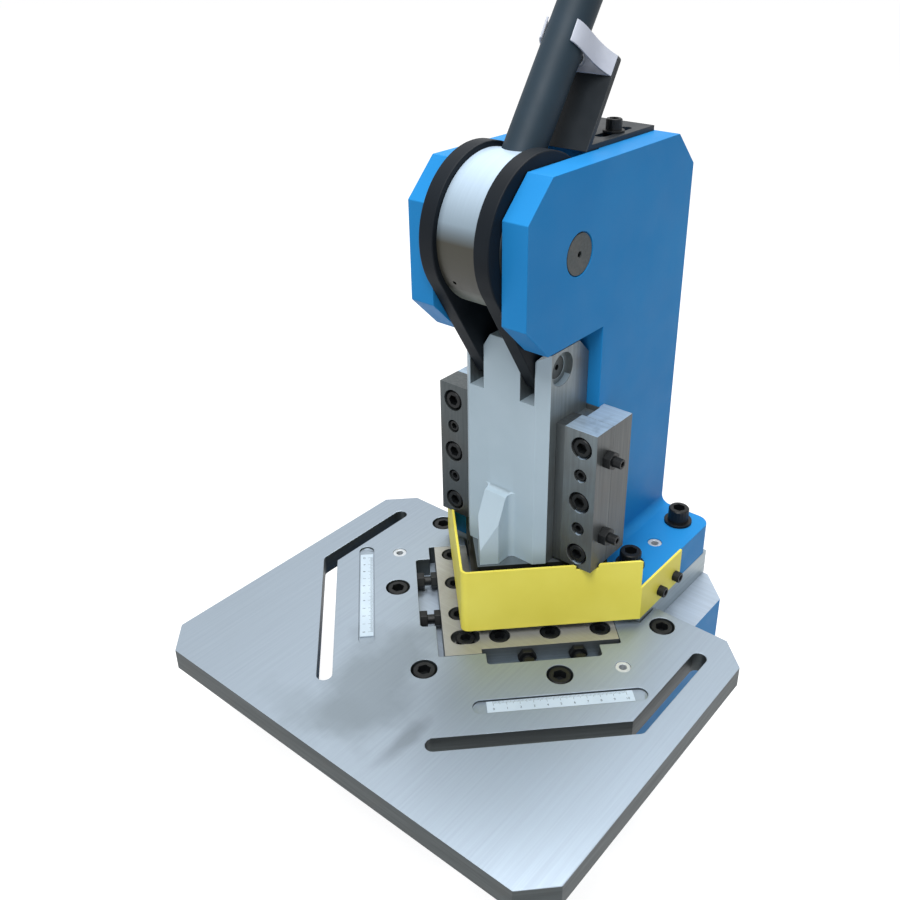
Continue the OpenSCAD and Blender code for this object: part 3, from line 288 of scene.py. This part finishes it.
finishes.update({key: steelFinish(look) for key, look in steels.items()})
print("finishes made:", len(finishes))


# the frame's solids get softened edges and finished faces
bodies = frame["record"]["behaviour"]["bodies"]
bodyOf = {node: body for body, nodes in bodies.items() for node in nodes}
edgeBreak = dict(mergeReach=2e-6, flatAngle=0.6, sharpAngle=28, segments=2, shadeAngle=24)


def mergedCopy(node):
    made = bmesh.new()
    made.from_mesh(frame["nodes"][node].data)
    bmesh.ops.remove_doubles(made, verts=made.verts, dist=edgeBreak["mergeReach"])
    return made


def bevelEdges(made, edges, width, clamp=True, slide=True):
    bmesh.ops.bevel(made, geom=edges, offset=width, offset_type="OFFSET",
                    segments=edgeBreak["segments"], profile=0.5, affect="EDGES",
                    clamp_overlap=clamp, loop_slide=slide)


def breakEdges(made, width, clamp):  # inner corners stay sharp, so nothing reaches a neighbour
    bmesh.ops.dissolve_limit(made, angle_limit=math.radians(edgeBreak["flatAngle"]),
                             verts=made.verts, edges=made.edges, delimit={"NORMAL"})
    least = math.radians(edgeBreak["sharpAngle"])
    edges = [e for e in made.edges
             if len(e.link_faces) == 2 and e.calc_face_angle_signed(0) > least]
    bevelEdges(made, edges, width, clamp)


def bakedMesh(piece):
    bpy.context.view_layer.update()
    depsgraph = bpy.context.evaluated_depsgraph_get()
    return bpy.data.meshes.new_from_object(piece.evaluated_get(depsgraph))


def evenNormals(piece):  # the large flat faces stay flat beside their rounded edges
    weigh = piece.modifiers.new("flatFaces", "WEIGHTED_NORMAL")
    weigh.keep_sharp = True
    mesh = bakedMesh(piece)
    piece.modifiers.remove(weigh)
    mesh.name = piece.name
    piece.data = mesh


def addPiece(name, made, body, finish, replaced=(), pick=None):
    mesh = bpy.data.meshes.new(name)
    bmesh.ops.triangulate(made, faces=[f for f in made.faces if len(f.verts) > 4],
                          ngon_method="BEAUTY")
    made.normal_update()
    for face in made.faces:
        face.smooth = True
        face.material_index = pick["rule"](face) if pick else 0
    made.to_mesh(mesh)
    made.free()
    mesh.set_sharp_from_angle(angle=math.radians(edgeBreak["shadeAngle"]))
    for key in [finish] + (pick["finishes"] if pick else []):
        mesh.materials.append(finishes[key])
    piece = bpy.data.objects.new(name, mesh)
    bpy.context.scene.collection.objects.link(piece)
    evenNormals(piece)
    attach(piece, body)
    if replaced:
        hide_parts(*replaced)


# each rule gives the number of a face's finish on its piece
def edgeFaces(face, level=0.3):
    return 0 if face.normal.z > level else 1


# the punch holder's top faces keep milled steel, its other faces the near-black painted shade
def topFaces(face, level=0.9):
    return 1 if face.normal.z > level else 0


def baseFaces(face, level=0.5, topHeight=0.0895):
    return 1 if face.normal.z > level and face.calc_center_median().z > topHeight else 0


# painted light and shade: on one steel part, top faces take the lighter, bluer finish and faces
# toward ±x the darker one
def coverFaces(face, level=0.9, side=0.7):
    return 1 if face.normal.z > level else 2 if abs(face.normal.x) > side else 0


# painted shade: faces inside the drum's outer surface, in its bore and oil hole, take the black
# finish so the holes show dark
def drumFaces(face, axis=Vector((-0.01553, 0.43162)), innerRadius=0.0535, side=0.5):
    inside = (face.calc_center_median().yz - axis).length < innerRadius
    return 1 if inside and abs(face.normal.x) < side else 0


def ramFaces(face, recess=(0.034, 0.315), slope=-0.25, level=0.6, top=(0.039, 0.02),
             front=-0.0204):
    centre = face.calc_center_median()
    nearPin = abs(centre.x) > recess[0] and centre.z > recess[1]
    forward = face.normal.y < slope and not nearPin
    upward = face.normal.z > level and abs(centre.x) < top[0] and centre.y < top[1]
    return 0 if forward or upward or centre.y < front else 1


# the width of its rounded edges in metres, and clamp=False where tight corners mustn't thin it
dressed = {
    "base_casting": dict(finish="blue", width=0.0012,
                         pick=dict(finishes=["baseTop"], rule=baseFaces)),
    "table_plate": dict(finish="table", width=0.0004, clamp=False,
                        pick=dict(finishes=["tableEdgeAndPaintedReflection"], rule=edgeFaces)),
    "spacer_plate": dict(finish="spacer", width=0.0006),
    "column_casting": dict(finish="blue", width=0.0005, clamp=False),
    "die_block_left": dict(finish="ground", width=0.0003,
                           pick=dict(finishes=["milled"], rule=edgeFaces)),
    "die_block_right": dict(finish="ground", width=0.0003,
                            pick=dict(finishes=["milled"], rule=edgeFaces)),
    "guide_block": dict(finish="guide", width=0.0004, clamp=False,
                        pick=dict(finishes=["guideTopPaintedLight", "sideSteelPaintedShade"], rule=coverFaces)),
    "guide_cover_left": dict(finish="leftCover", width=0.0004, clamp=False),
    "guide_cover_right": dict(finish="guide", width=0.0004, clamp=False,
                              pick=dict(finishes=["guideTopPaintedLight", "sideSteelPaintedShade"], rule=coverFaces)),
    "gib_strip_right": dict(finish="gib", width=0.0003),
    "guard": dict(finish="yellow", width=0.0005),
    "pivot_shaft": dict(finish="turned", width=0.0006),
    "pivot_bush_left": dict(finish="bronze", width=0.0003),
    "pivot_bush_right": dict(finish="bronze", width=0.0003),
    "eccentric_drum": dict(finish="drum", width=0.0005,
                           pick=dict(finishes=["black"], rule=drumFaces)),
    "link_left": dict(finish="linkBlack", width=0.0008),
    "link_right": dict(finish="linkBlack", width=0.0008),
    "link_pin": dict(finish="turned", width=0.0004),
    "ram": dict(finish="ramCoat", width=0.0004, clamp=False,
                pick=dict(finishes=["ramSide"], rule=ramFaces)),
    "punch_holder": dict(finish="toolSteelInPaintedShade", width=0.0005,
                         pick=dict(finishes=["milled"], rule=topFaces)),
    "upper_blade_left": dict(finish="toolSteelInPaintedShade", width=0.0002),
    "upper_blade_right": dict(finish="toolSteelInPaintedShade", width=0.0002),
    "handle_tube": dict(finish="tubeBlack", width=0.0004),
    "handle_stud": dict(finish="bright", width=0.0004),
    "handle_grip": dict(finish="grip", width=0.002),
    "rest_bracket": dict(finish="satinBlack", width=0.0006),
    "rest_washers": dict(finish="black", width=0.0003),
    "column_washers": dict(finish="black", width=0.0003),
    "clip_screw": dict(finish="bright", width=0.0002),
    "clip_nut": dict(finish="bright", width=0.0004),
    "table_dowels": dict(finish="dowel", width=0.0004),
    "column_dowels": dict(finish="dowel", width=0.0005),
    "jack_screws": dict(finish="black", width=0.0004),
    "jack_nuts": dict(finish="black", width=0.0004),
    "gib_set_screws": dict(finish="black", width=0.0003),
    "gib_lock_nuts": dict(finish="black", width=0.0004),
}


def dressNode(node, look):
    made = mergedCopy(node)
    breakEdges(made, look["width"], look.get("clamp", True))
    addPiece(node + ".dressed", made, bodyOf[node], look["finish"], [node],
             look.get("pick"))


for node, look in dressed.items():
    dressNode(node, look)
print("solids dressed:", len(dressed))


# the clip's plan: across, and forward of the rest's plate; its arms wrap the tube
clipStrip = dict(front=(0.0342, 0.480), lean=58.5, along=0.062, width=0.015, thickness=0.0015,
                 rise=0.19, steps=22, foldGap=0.0006, edgeAngle=50, edgeWidth=0.0004,
                 curve=((0.0285, 0), (0.016, 0.013), (0.020, 0.030), (0.0124, 0.0365)))


def clipOutline():
    a, b, c, d = (Vector(p) for p in clipStrip["curve"])
    steps, thickness = clipStrip["steps"], clipStrip["thickness"]
    outer = []
    for i in range(steps + 1):
        t = i / steps
        outer.append(a * (1 - t) ** 3 + b * 3 * t * (1 - t) ** 2 + c * 3 * t * t * (1 - t)
                     + d * t ** 3)
    inner = []
    for i, point in enumerate(outer):
        run = outer[min(i + 1, steps)] - outer[max(i - 1, 0)]
        inner.append(point + Vector((-run.y, run.x)).normalized() * thickness)
    fold = next(i for i, p in enumerate(inner) if p.y > thickness)
    foot = Vector((inner[fold].x + clipStrip["foldGap"], thickness))
    right = outer + inner[:fold - 1:-1] + [foot]
    return right + [Vector((-p.x, p.y)) for p in reversed(right)]


def makeClip():
    lean = math.radians(clipStrip["lean"])
    up = Vector((0, math.cos(lean), math.sin(lean)))
    forward = Vector((0, -math.sin(lean), math.cos(lean)))
    origin = Vector((0, *clipStrip["front"])) + up * clipStrip["along"]
    made = bmesh.new()
    rows = []
    for height in (-clipStrip["width"] / 2, clipStrip["width"] / 2):
        rows.append([made.verts.new(origin + Vector((p.x, 0, 0)) + forward * p.y
                                    + up * (height + p.y * clipStrip["rise"]))
                     for p in clipOutline()])
    count = len(rows[0])
    made.faces.new(rows[0])
    made.faces.new(reversed(rows[1]))
    for i in range(count):
        j = (i + 1) % count
        made.faces.new((rows[0][j], rows[0][i], rows[1][i], rows[1][j]))
    bmesh.ops.recalc_face_normals(made, faces=made.faces)
    least = math.radians(clipStrip["edgeAngle"])
    edges = [e for e in made.edges if e.calc_face_angle(0) > least]
    bevelEdges(made, edges, clipStrip["edgeWidth"], slide=False)
    addPiece("clipStrip", made, "frame", "clip", ["handle_clip"])


makeClip()
print("clip bent")


# the screw tree and the tick tree share the next few functions
def startTree(name, inputs):
    tree = bpy.data.node_groups.new(name, "GeometryNodeTree")
    face = tree.interface
    face.new_socket("Geometry", in_out="INPUT", socket_type="NodeSocketGeometry")
    for title, kind in inputs.items():
        face.new_socket(title, in_out="INPUT", socket_type="NodeSocket" + kind)
    face.new_socket("Geometry", in_out="OUTPUT", socket_type="NodeSocketGeometry")
    return tree, tree.nodes.new("NodeGroupInput")


def attribute(tree, name, kind):
    made = tree.nodes.new("GeometryNodeInputNamedAttribute")
    made.data_type = kind
    made.inputs["Name"].default_value = name
    return made.outputs["Attribute"]


def turnTowards(tree, direction, axis):
    made = tree.nodes.new("FunctionNodeAlignRotationToVector")
    made.axis = axis
    tree.links.new(direction, made.inputs["Vector"])
    return made.outputs["Rotation"]


def setOnPoints(tree, given, shape, turn, size):
    made = tree.nodes.new("GeometryNodeInstanceOnPoints")
    tree.links.new(given.outputs["Geometry"], made.inputs["Points"])
    tree.links.new(shape, made.inputs["Instance"])
    tree.links.new(turn, made.inputs["Rotation"])
    tree.links.new(size, made.inputs["Scale"])
    return made.outputs["Instances"]


def endTree(tree, given, shapes):
    joined = tree.nodes.new("GeometryNodeJoinGeometry")
    for shape in shapes:
        tree.links.new(shape, joined.inputs[0])
    real = tree.nodes.new("GeometryNodeRealizeInstances")
    tree.links.new(joined.outputs[0], real.inputs[0])
    finish = tree.nodes.new("GeometryNodeSetMaterial")
    tree.links.new(real.outputs[0], finish.inputs["Geometry"])
    tree.links.new(given.outputs["Finish"], finish.inputs["Material"])
    out = tree.nodes.new("NodeGroupOutput")
    tree.links.new(finish.outputs[0], out.inputs[0])
    return tree


def pointsMesh(name, places, columns):
    points = bpy.data.meshes.new(name)
    points.from_pydata(places, [], [])
    for key, values in columns.items():
        single = isinstance(values[0], float)
        layer = points.attributes.new(key, "FLOAT" if single else "FLOAT_VECTOR", "POINT")
        for item, value in zip(layer.data, values):
            setattr(item, "value" if single else "vector", value)
    return points


def runTree(name, mesh, tree, values):
    holder = bpy.data.objects.new(name + ".points", mesh)
    bpy.context.scene.collection.objects.link(holder)
    modifier = holder.modifiers.new("tree", "NODES")
    modifier.node_group = tree
    for item in tree.interface.items_tree:
        if item.in_out == "INPUT" and item.name in values:
            modifier[item.identifier] = values[item.name]
    result = bakedMesh(holder)
    holder.modifiers.remove(modifier)
    bpy.data.objects.remove(holder)
    result.name = name
    return result


# a cap screw of unit size: its head is 1.5 wide and 1 high, with its seat at zero
capScrew = dict(headSides=40, knurlDepth=0.03, topChamfer=0.9, socketShare=0.8, socketDepth=0.55,
                headWidth=1.5, headRings=4, knurlHalf=0.3, topFrom=0.45, lastRing=0.25,
                ringRise=0.93, topRise=0.07, socketSides=6, socketTool=1.2, shankSides=24,
                shadeAngle=20)
screwAxes = {
    "table_screws": (0, 0, 1), "column_screws": (0, 0, 1), "die_screws_left": (0, 0, 1),
    "die_screws_right": (0, 0, 1), "guide_block_screws": (0, -1, 0), "guide_screws": (0, -1, 0),
    "guide_small_screws": (0, -1, 0), "guard_screws": (1, 0, 0), "rest_screws": (0, 0, 1),
    "punch_screws": (0, 0, -1), "blade_screws": (rootHalf, -rootHalf, 0),
}


def looseParts(made):  # the points of each screw, in the mesh's own order
    found, groups = set(), []
    for first in made.verts:
        group, waiting = [], [] if first in found else [first]
        while waiting:
            vert = waiting.pop()
            if vert in found:
                continue
            found.add(vert)
            group.append(vert.co.copy())
            waiting += [edge.other_vert(vert) for edge in vert.link_edges]
        if group:
            groups.append(group)
    return groups


def screwSeats(node):
    made = mergedCopy(node)
    seats = []
    for points in looseParts(made):
        axis = Vector(screwAxes[node])
        middle = sum(points, Vector()) / len(points)
        axis.x *= -1 if middle.x < 0 else 1  # the left side mirrors the right
        turn = axis.to_track_quat("Z", "X").to_matrix()
        flat = [turn.inverted() @ p for p in points]
        low = Vector(min(p[i] for p in flat) for i in range(3))
        high = Vector(max(p[i] for p in flat) for i in range(3))
        size = (high.x - low.x) / capScrew["headWidth"]
        seat = turn @ Vector(((low.x + high.x) / 2, (low.y + high.y) / 2, high.z - size))
        seats.append((seat, axis, size, high.z - size - low.z))
    made.free()
    return seats


def screwHead(tree, given):
    link = tree.links.new
    head = addNode(tree, "GeometryNodeMeshCylinder", Side_Segments=capScrew["headRings"],
                   Radius=capScrew["headWidth"] / 2, Depth=1)
    link(given.outputs["Head Sides"], head.inputs["Vertices"])
    place = tree.nodes.new("GeometryNodeInputPosition")
    parts = tree.nodes.new("ShaderNodeSeparateXYZ")
    link(place.outputs[0], parts.inputs[0])
    x, y, z = (parts.outputs[name] for name in "XYZ")
    index = tree.nodes.new("GeometryNodeInputIndex")

    # every second point of the middle rings sinks into a groove, and the top ring is narrower
    odd = reckon(tree, "MODULO", index.outputs[0], 2)
    middle = reckon(tree, "LESS_THAN", reckon(tree, "ABSOLUTE", z, 0), capScrew["knurlHalf"])
    sunk = reckon(tree, "MULTIPLY", reckon(tree, "MULTIPLY", odd, middle),
                  given.outputs["Knurl Depth"])
    top = reckon(tree, "GREATER_THAN", z, capScrew["topFrom"])
    cutBack = reckon(tree, "MULTIPLY", top,
                     reckon(tree, "SUBTRACT", 1, given.outputs["Top Chamfer"]))
    share = reckon(tree, "MULTIPLY", reckon(tree, "SUBTRACT", 1, sunk),
                   reckon(tree, "SUBTRACT", 1, cutBack))

    # the rings below the top move up, so that the chamfer is short
    rings = ramp(tree, z, -0.5, capScrew["lastRing"], 0, capScrew["ringRise"])
    raised = reckon(tree, "ADD", rings, reckon(tree, "MULTIPLY", top, capScrew["topRise"]))
    spot = tree.nodes.new("ShaderNodeCombineXYZ")
    link(reckon(tree, "MULTIPLY", x, share), spot.inputs["X"])
    link(reckon(tree, "MULTIPLY", y, share), spot.inputs["Y"])
    link(raised, spot.inputs["Z"])
    shaped = tree.nodes.new("GeometryNodeSetPosition")
    link(head.outputs["Mesh"], shaped.inputs["Geometry"])
    link(spot.outputs[0], shaped.inputs["Position"])

    socket = addNode(tree, "GeometryNodeMeshCylinder", Vertices=capScrew["socketSides"],
                     Depth=capScrew["socketTool"])
    corner = 0.5 / math.cos(math.pi / capScrew["socketSides"])  # from its width over flats
    link(reckon(tree, "MULTIPLY", given.outputs["Socket Share"], corner), socket.inputs["Radius"])
    up = tree.nodes.new("ShaderNodeCombineXYZ")
    middleHeight = 1 + capScrew["socketTool"] / 2
    link(reckon(tree, "SUBTRACT", middleHeight, given.outputs["Socket Depth"]), up.inputs["Z"])
    lifted = tree.nodes.new("GeometryNodeTransform")
    link(socket.outputs["Mesh"], lifted.inputs["Geometry"])
    link(up.outputs[0], lifted.inputs["Translation"])
    cut = tree.nodes.new("GeometryNodeMeshBoolean")
    cut.operation = "DIFFERENCE"
    link(shaped.outputs["Geometry"], cut.inputs["Mesh 1"])
    link(lifted.outputs["Geometry"], cut.inputs["Mesh 2"])
    return cut.outputs["Mesh"]


def screwShank(tree):
    shank = addNode(tree, "GeometryNodeMeshCylinder", Vertices=capScrew["shankSides"], Radius=0.5,
                    Depth=1)
    hung = addNode(tree, "GeometryNodeTransform", Translation=(0, 0, -0.5))
    tree.links.new(shank.outputs["Mesh"], hung.inputs["Geometry"])
    return hung.outputs["Geometry"]


def screwTree():
    tree, given = startTree("capScrewTree", {
        "Head Sides": "Int", "Knurl Depth": "Float", "Top Chamfer": "Float",
        "Socket Share": "Float", "Socket Depth": "Float", "Finish": "Material"})
    head = screwHead(tree, given)
    shank = screwShank(tree)
    turn = turnTowards(tree, attribute(tree, "axis", "FLOAT_VECTOR"), "Z")
    size = attribute(tree, "size", "FLOAT")
    sizes = tree.nodes.new("ShaderNodeCombineXYZ")
    tree.links.new(size, sizes.inputs["X"])
    tree.links.new(size, sizes.inputs["Y"])
    tree.links.new(attribute(tree, "reach", "FLOAT"), sizes.inputs["Z"])
    heads = setOnPoints(tree, given, head, turn, size)
    shanks = setOnPoints(tree, given, shank, turn, sizes.outputs[0])
    return endTree(tree, given, (heads, shanks))


def screwPiece(name, body, nodes, tree):
    seats = [seat for node in nodes for seat in screwSeats(node)]
    places, axes, sizes, reaches = zip(*seats)
    points = pointsMesh(name + ".points", places, dict(axis=axes, size=sizes, reach=reaches))
    mesh = runTree(name, points, tree, {
        "Head Sides": capScrew["headSides"], "Knurl Depth": capScrew["knurlDepth"],
        "Top Chamfer": capScrew["topChamfer"], "Socket Share": capScrew["socketShare"],
        "Socket Depth": capScrew["socketDepth"], "Finish": finishes["black"]})
    mesh.shade_smooth()
    mesh.set_sharp_from_angle(angle=math.radians(capScrew["shadeAngle"]))
    piece = bpy.data.objects.new(name, mesh)
    bpy.context.scene.collection.objects.link(piece)
    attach(piece, body)
    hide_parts(*nodes)
    triangles = sum(len(p.vertices) - 2 for p in mesh.polygons)
    print(name, "screws:", len(seats), "triangles:", triangles)


capTree = screwTree()
screwPiece("frameCapScrews", "frame", [n for n in screwAxes if bodyOf[n] == "frame"], capTree)
screwPiece("ramCapScrews", "ram", [n for n in screwAxes if bodyOf[n] == "ram"], capTree)


# each strip runs at 45 degrees, its middle offset outward from a line through the apex
scaleStrip = dict(apex=-0.050, top=0.107, offset=0.090, width=0.011, zero=0.0025, ticks=100,
                  tickStep=0.001, tickWidth=0.00022, tickHeight=0.00008, edgeGap=0.0003,
                  lengths=(0.0042, 0.0031, 0.0021), numbers=11, numberStep=0.01, digit=0.0031,
                  digitGap=0.0024, digitHeight=0.00004, digitSteps=3)


def stripFrame(side):
    along = Vector((side * rootHalf, rootHalf, 0))
    inward = Vector((-side * rootHalf, rootHalf, 0))
    return Vector((0, scaleStrip["apex"], scaleStrip["top"])), along, inward


def tickTree():
    tree, given = startTree("tickTree", {"Finish": "Material"})
    bar = addNode(tree, "GeometryNodeMeshCube", Size=(1, 1, 1))
    turn = turnTowards(tree, attribute(tree, "axis", "FLOAT_VECTOR"), "Y")
    shape = attribute(tree, "shape", "FLOAT_VECTOR")
    return endTree(tree, given, [setOnPoints(tree, given, bar.outputs["Mesh"], turn, shape)])


def tickPoints(side):
    origin, along, inward = stripFrame(side)
    rows = []
    edge = -scaleStrip["offset"] + scaleStrip["width"] / 2 - scaleStrip["edgeGap"]
    for step in range(scaleStrip["ticks"] + 1):
        rank = 0 if step % 10 == 0 else 1 if step % 5 == 0 else 2
        long = scaleStrip["lengths"][rank]
        ahead = scaleStrip["zero"] + step * scaleStrip["tickStep"]
        centre = origin + along * ahead + inward * (edge - long / 2)
        rows.append((centre, inward, (scaleStrip["tickWidth"], long, scaleStrip["tickHeight"])))
    return rows


def textMesh(text):
    curve = bpy.data.curves.new("digit", "FONT")
    curve.body = text
    curve.size = scaleStrip["digit"]
    curve.align_x = "CENTER"
    curve.align_y = "CENTER"
    curve.resolution_u = scaleStrip["digitSteps"]
    curve.extrude = scaleStrip["digitHeight"]
    holder = bpy.data.objects.new("digit", curve)
    bpy.context.scene.collection.objects.link(holder)
    mesh = bakedMesh(holder)
    bpy.data.objects.remove(holder)
    return mesh


def scaleMarks():
    places, axes, shapes = zip(*tickPoints(1), *tickPoints(-1))
    points = pointsMesh("ticks.points", places, dict(axis=axes, shape=shapes))
    ticks = runTree("scaleTicks", points, tickTree(), {"Finish": finishes["ink"]})
    made = bmesh.new()
    made.from_mesh(ticks)
    outward = scaleStrip["offset"] + scaleStrip["digitGap"]
    for side in (1, -1):
        origin, along, inward = stripFrame(side)
        right = along * side  # both rows of numbers read from outside the table
        for number in range(scaleStrip["numbers"]):
            ahead = scaleStrip["zero"] + number * scaleStrip["numberStep"]
            digits = textMesh(str(number))
            place = Matrix((right, inward, Vector((0, 0, 1)))).transposed().to_4x4()
            place.translation = origin + along * ahead - inward * outward
            digits.transform(place)
            made.from_mesh(digits)
    addPiece("scaleMarks", made, "frame", "ink")


for side in ("left", "right"):
    dressNode("scale_" + side, dict(finish="strip", width=0.0001))
scaleMarks()
print("scales marked")


floorLook = dict(size=80, glow=0.9, faintness=0.28, colour=(0.5, 0.5, 0.5, 1))
skyLevel = 0.36
lamps = {
    "key": dict(place=(0.42, -1.0, 2.35), aim=(0, 0, 0.25), size=1.1, power=49),
    "front": dict(place=(1.1, -2.3, 0.8), aim=(0, 0, 0.25), size=1.2, power=3),
    "window": dict(place=(-0.25, 0.62, 2.3), aim=(0.1, -0.1, 0.1), size=0.8, power=32),
}
viewpoint = dict(place=(0.3946, -0.5280, 0.6328), tilt=63.09, turn=38.66, lens=38.83, sensor=36,
                 shift=(-0.044, -0.0616), near=0.02)


def seenOrMirrored(tree):  # 1 where the camera, a reflection or glass shows it, and else 0
    path = tree.nodes.new("ShaderNodeLightPath")
    seen = reckon(tree, "MAXIMUM", path.outputs["Is Camera Ray"], path.outputs["Is Glossy Ray"])
    return reckon(tree, "MAXIMUM", seen, path.outputs["Is Transmission Ray"])


def floorMaterial():  # it looks near white, and lights the object as a grey floor would
    material = bpy.data.materials.new("paleFloor")
    material.use_nodes = True
    tree = material.node_tree
    tree.nodes.clear()
    grey = floorLook["faintness"]
    plain = addNode(tree, "ShaderNodeBsdfDiffuse", Color=floorLook["colour"])
    faint = addNode(tree, "ShaderNodeBsdfDiffuse", Color=(grey, grey, grey, 1))
    light = addNode(tree, "ShaderNodeEmission", Color=(1, 1, 1, 1), Strength=floorLook["glow"])
    shown = tree.nodes.new("ShaderNodeAddShader")
    tree.links.new(faint.outputs[0], shown.inputs[0])
    tree.links.new(light.outputs[0], shown.inputs[1])
    mix = tree.nodes.new("ShaderNodeMixShader")
    tree.links.new(seenOrMirrored(tree), mix.inputs[0])
    tree.links.new(plain.outputs[0], mix.inputs[1])
    tree.links.new(shown.outputs[0], mix.inputs[2])
    out = tree.nodes.new("ShaderNodeOutputMaterial")
    tree.links.new(mix.outputs[0], out.inputs[0])
    return material


def makeFloor():
    mesh = bpy.data.meshes.new("floor")
    half = floorLook["size"] / 2
    corners = [(-half, -half, 0), (half, -half, 0), (half, half, 0), (-half, half, 0)]
    mesh.from_pydata(corners, [], [(0, 1, 2, 3)])
    mesh.materials.append(floorMaterial())
    floor = bpy.data.objects.new("floor", mesh)
    bpy.context.scene.collection.objects.link(floor)


def makeWorld():
    world = bpy.data.worlds.new("studio")
    world.use_nodes = True
    tree = world.node_tree
    tree.nodes.clear()
    level = ramp(tree, seenOrMirrored(tree), 0, 1, skyLevel, 1)
    back = addNode(tree, "ShaderNodeBackground", Color=(1, 1, 1, 1))
    tree.links.new(level, back.inputs["Strength"])
    out = tree.nodes.new("ShaderNodeOutputWorld")
    tree.links.new(back.outputs[0], out.inputs[0])
    bpy.context.scene.world = world


def makeLamps():
    for name, lamp in lamps.items():
        data = bpy.data.lights.new(name, "AREA")
        data.size = lamp["size"]
        data.energy = lamp["power"]
        made = bpy.data.objects.new(name, data)
        made.location = lamp["place"]
        towards = Vector(lamp["aim"]) - Vector(lamp["place"])
        made.rotation_euler = towards.to_track_quat("-Z", "Y").to_euler()
        bpy.context.scene.collection.objects.link(made)


def makeCamera():
    data = bpy.data.cameras.new("camera")
    data.lens = viewpoint["lens"]
    data.sensor_width = viewpoint["sensor"]
    data.shift_x, data.shift_y = viewpoint["shift"]
    data.clip_start = viewpoint["near"]
    camera = bpy.data.objects.new("camera", data)
    camera.location = viewpoint["place"]
    camera.rotation_euler = (math.radians(viewpoint["tilt"]), 0, math.radians(viewpoint["turn"]))
    bpy.context.scene.collection.objects.link(camera)
    bpy.context.scene.camera = camera


makeFloor()
makeWorld()
makeLamps()
makeCamera()
bpy.context.scene.view_settings.view_transform = "Standard"
print("stage ready")
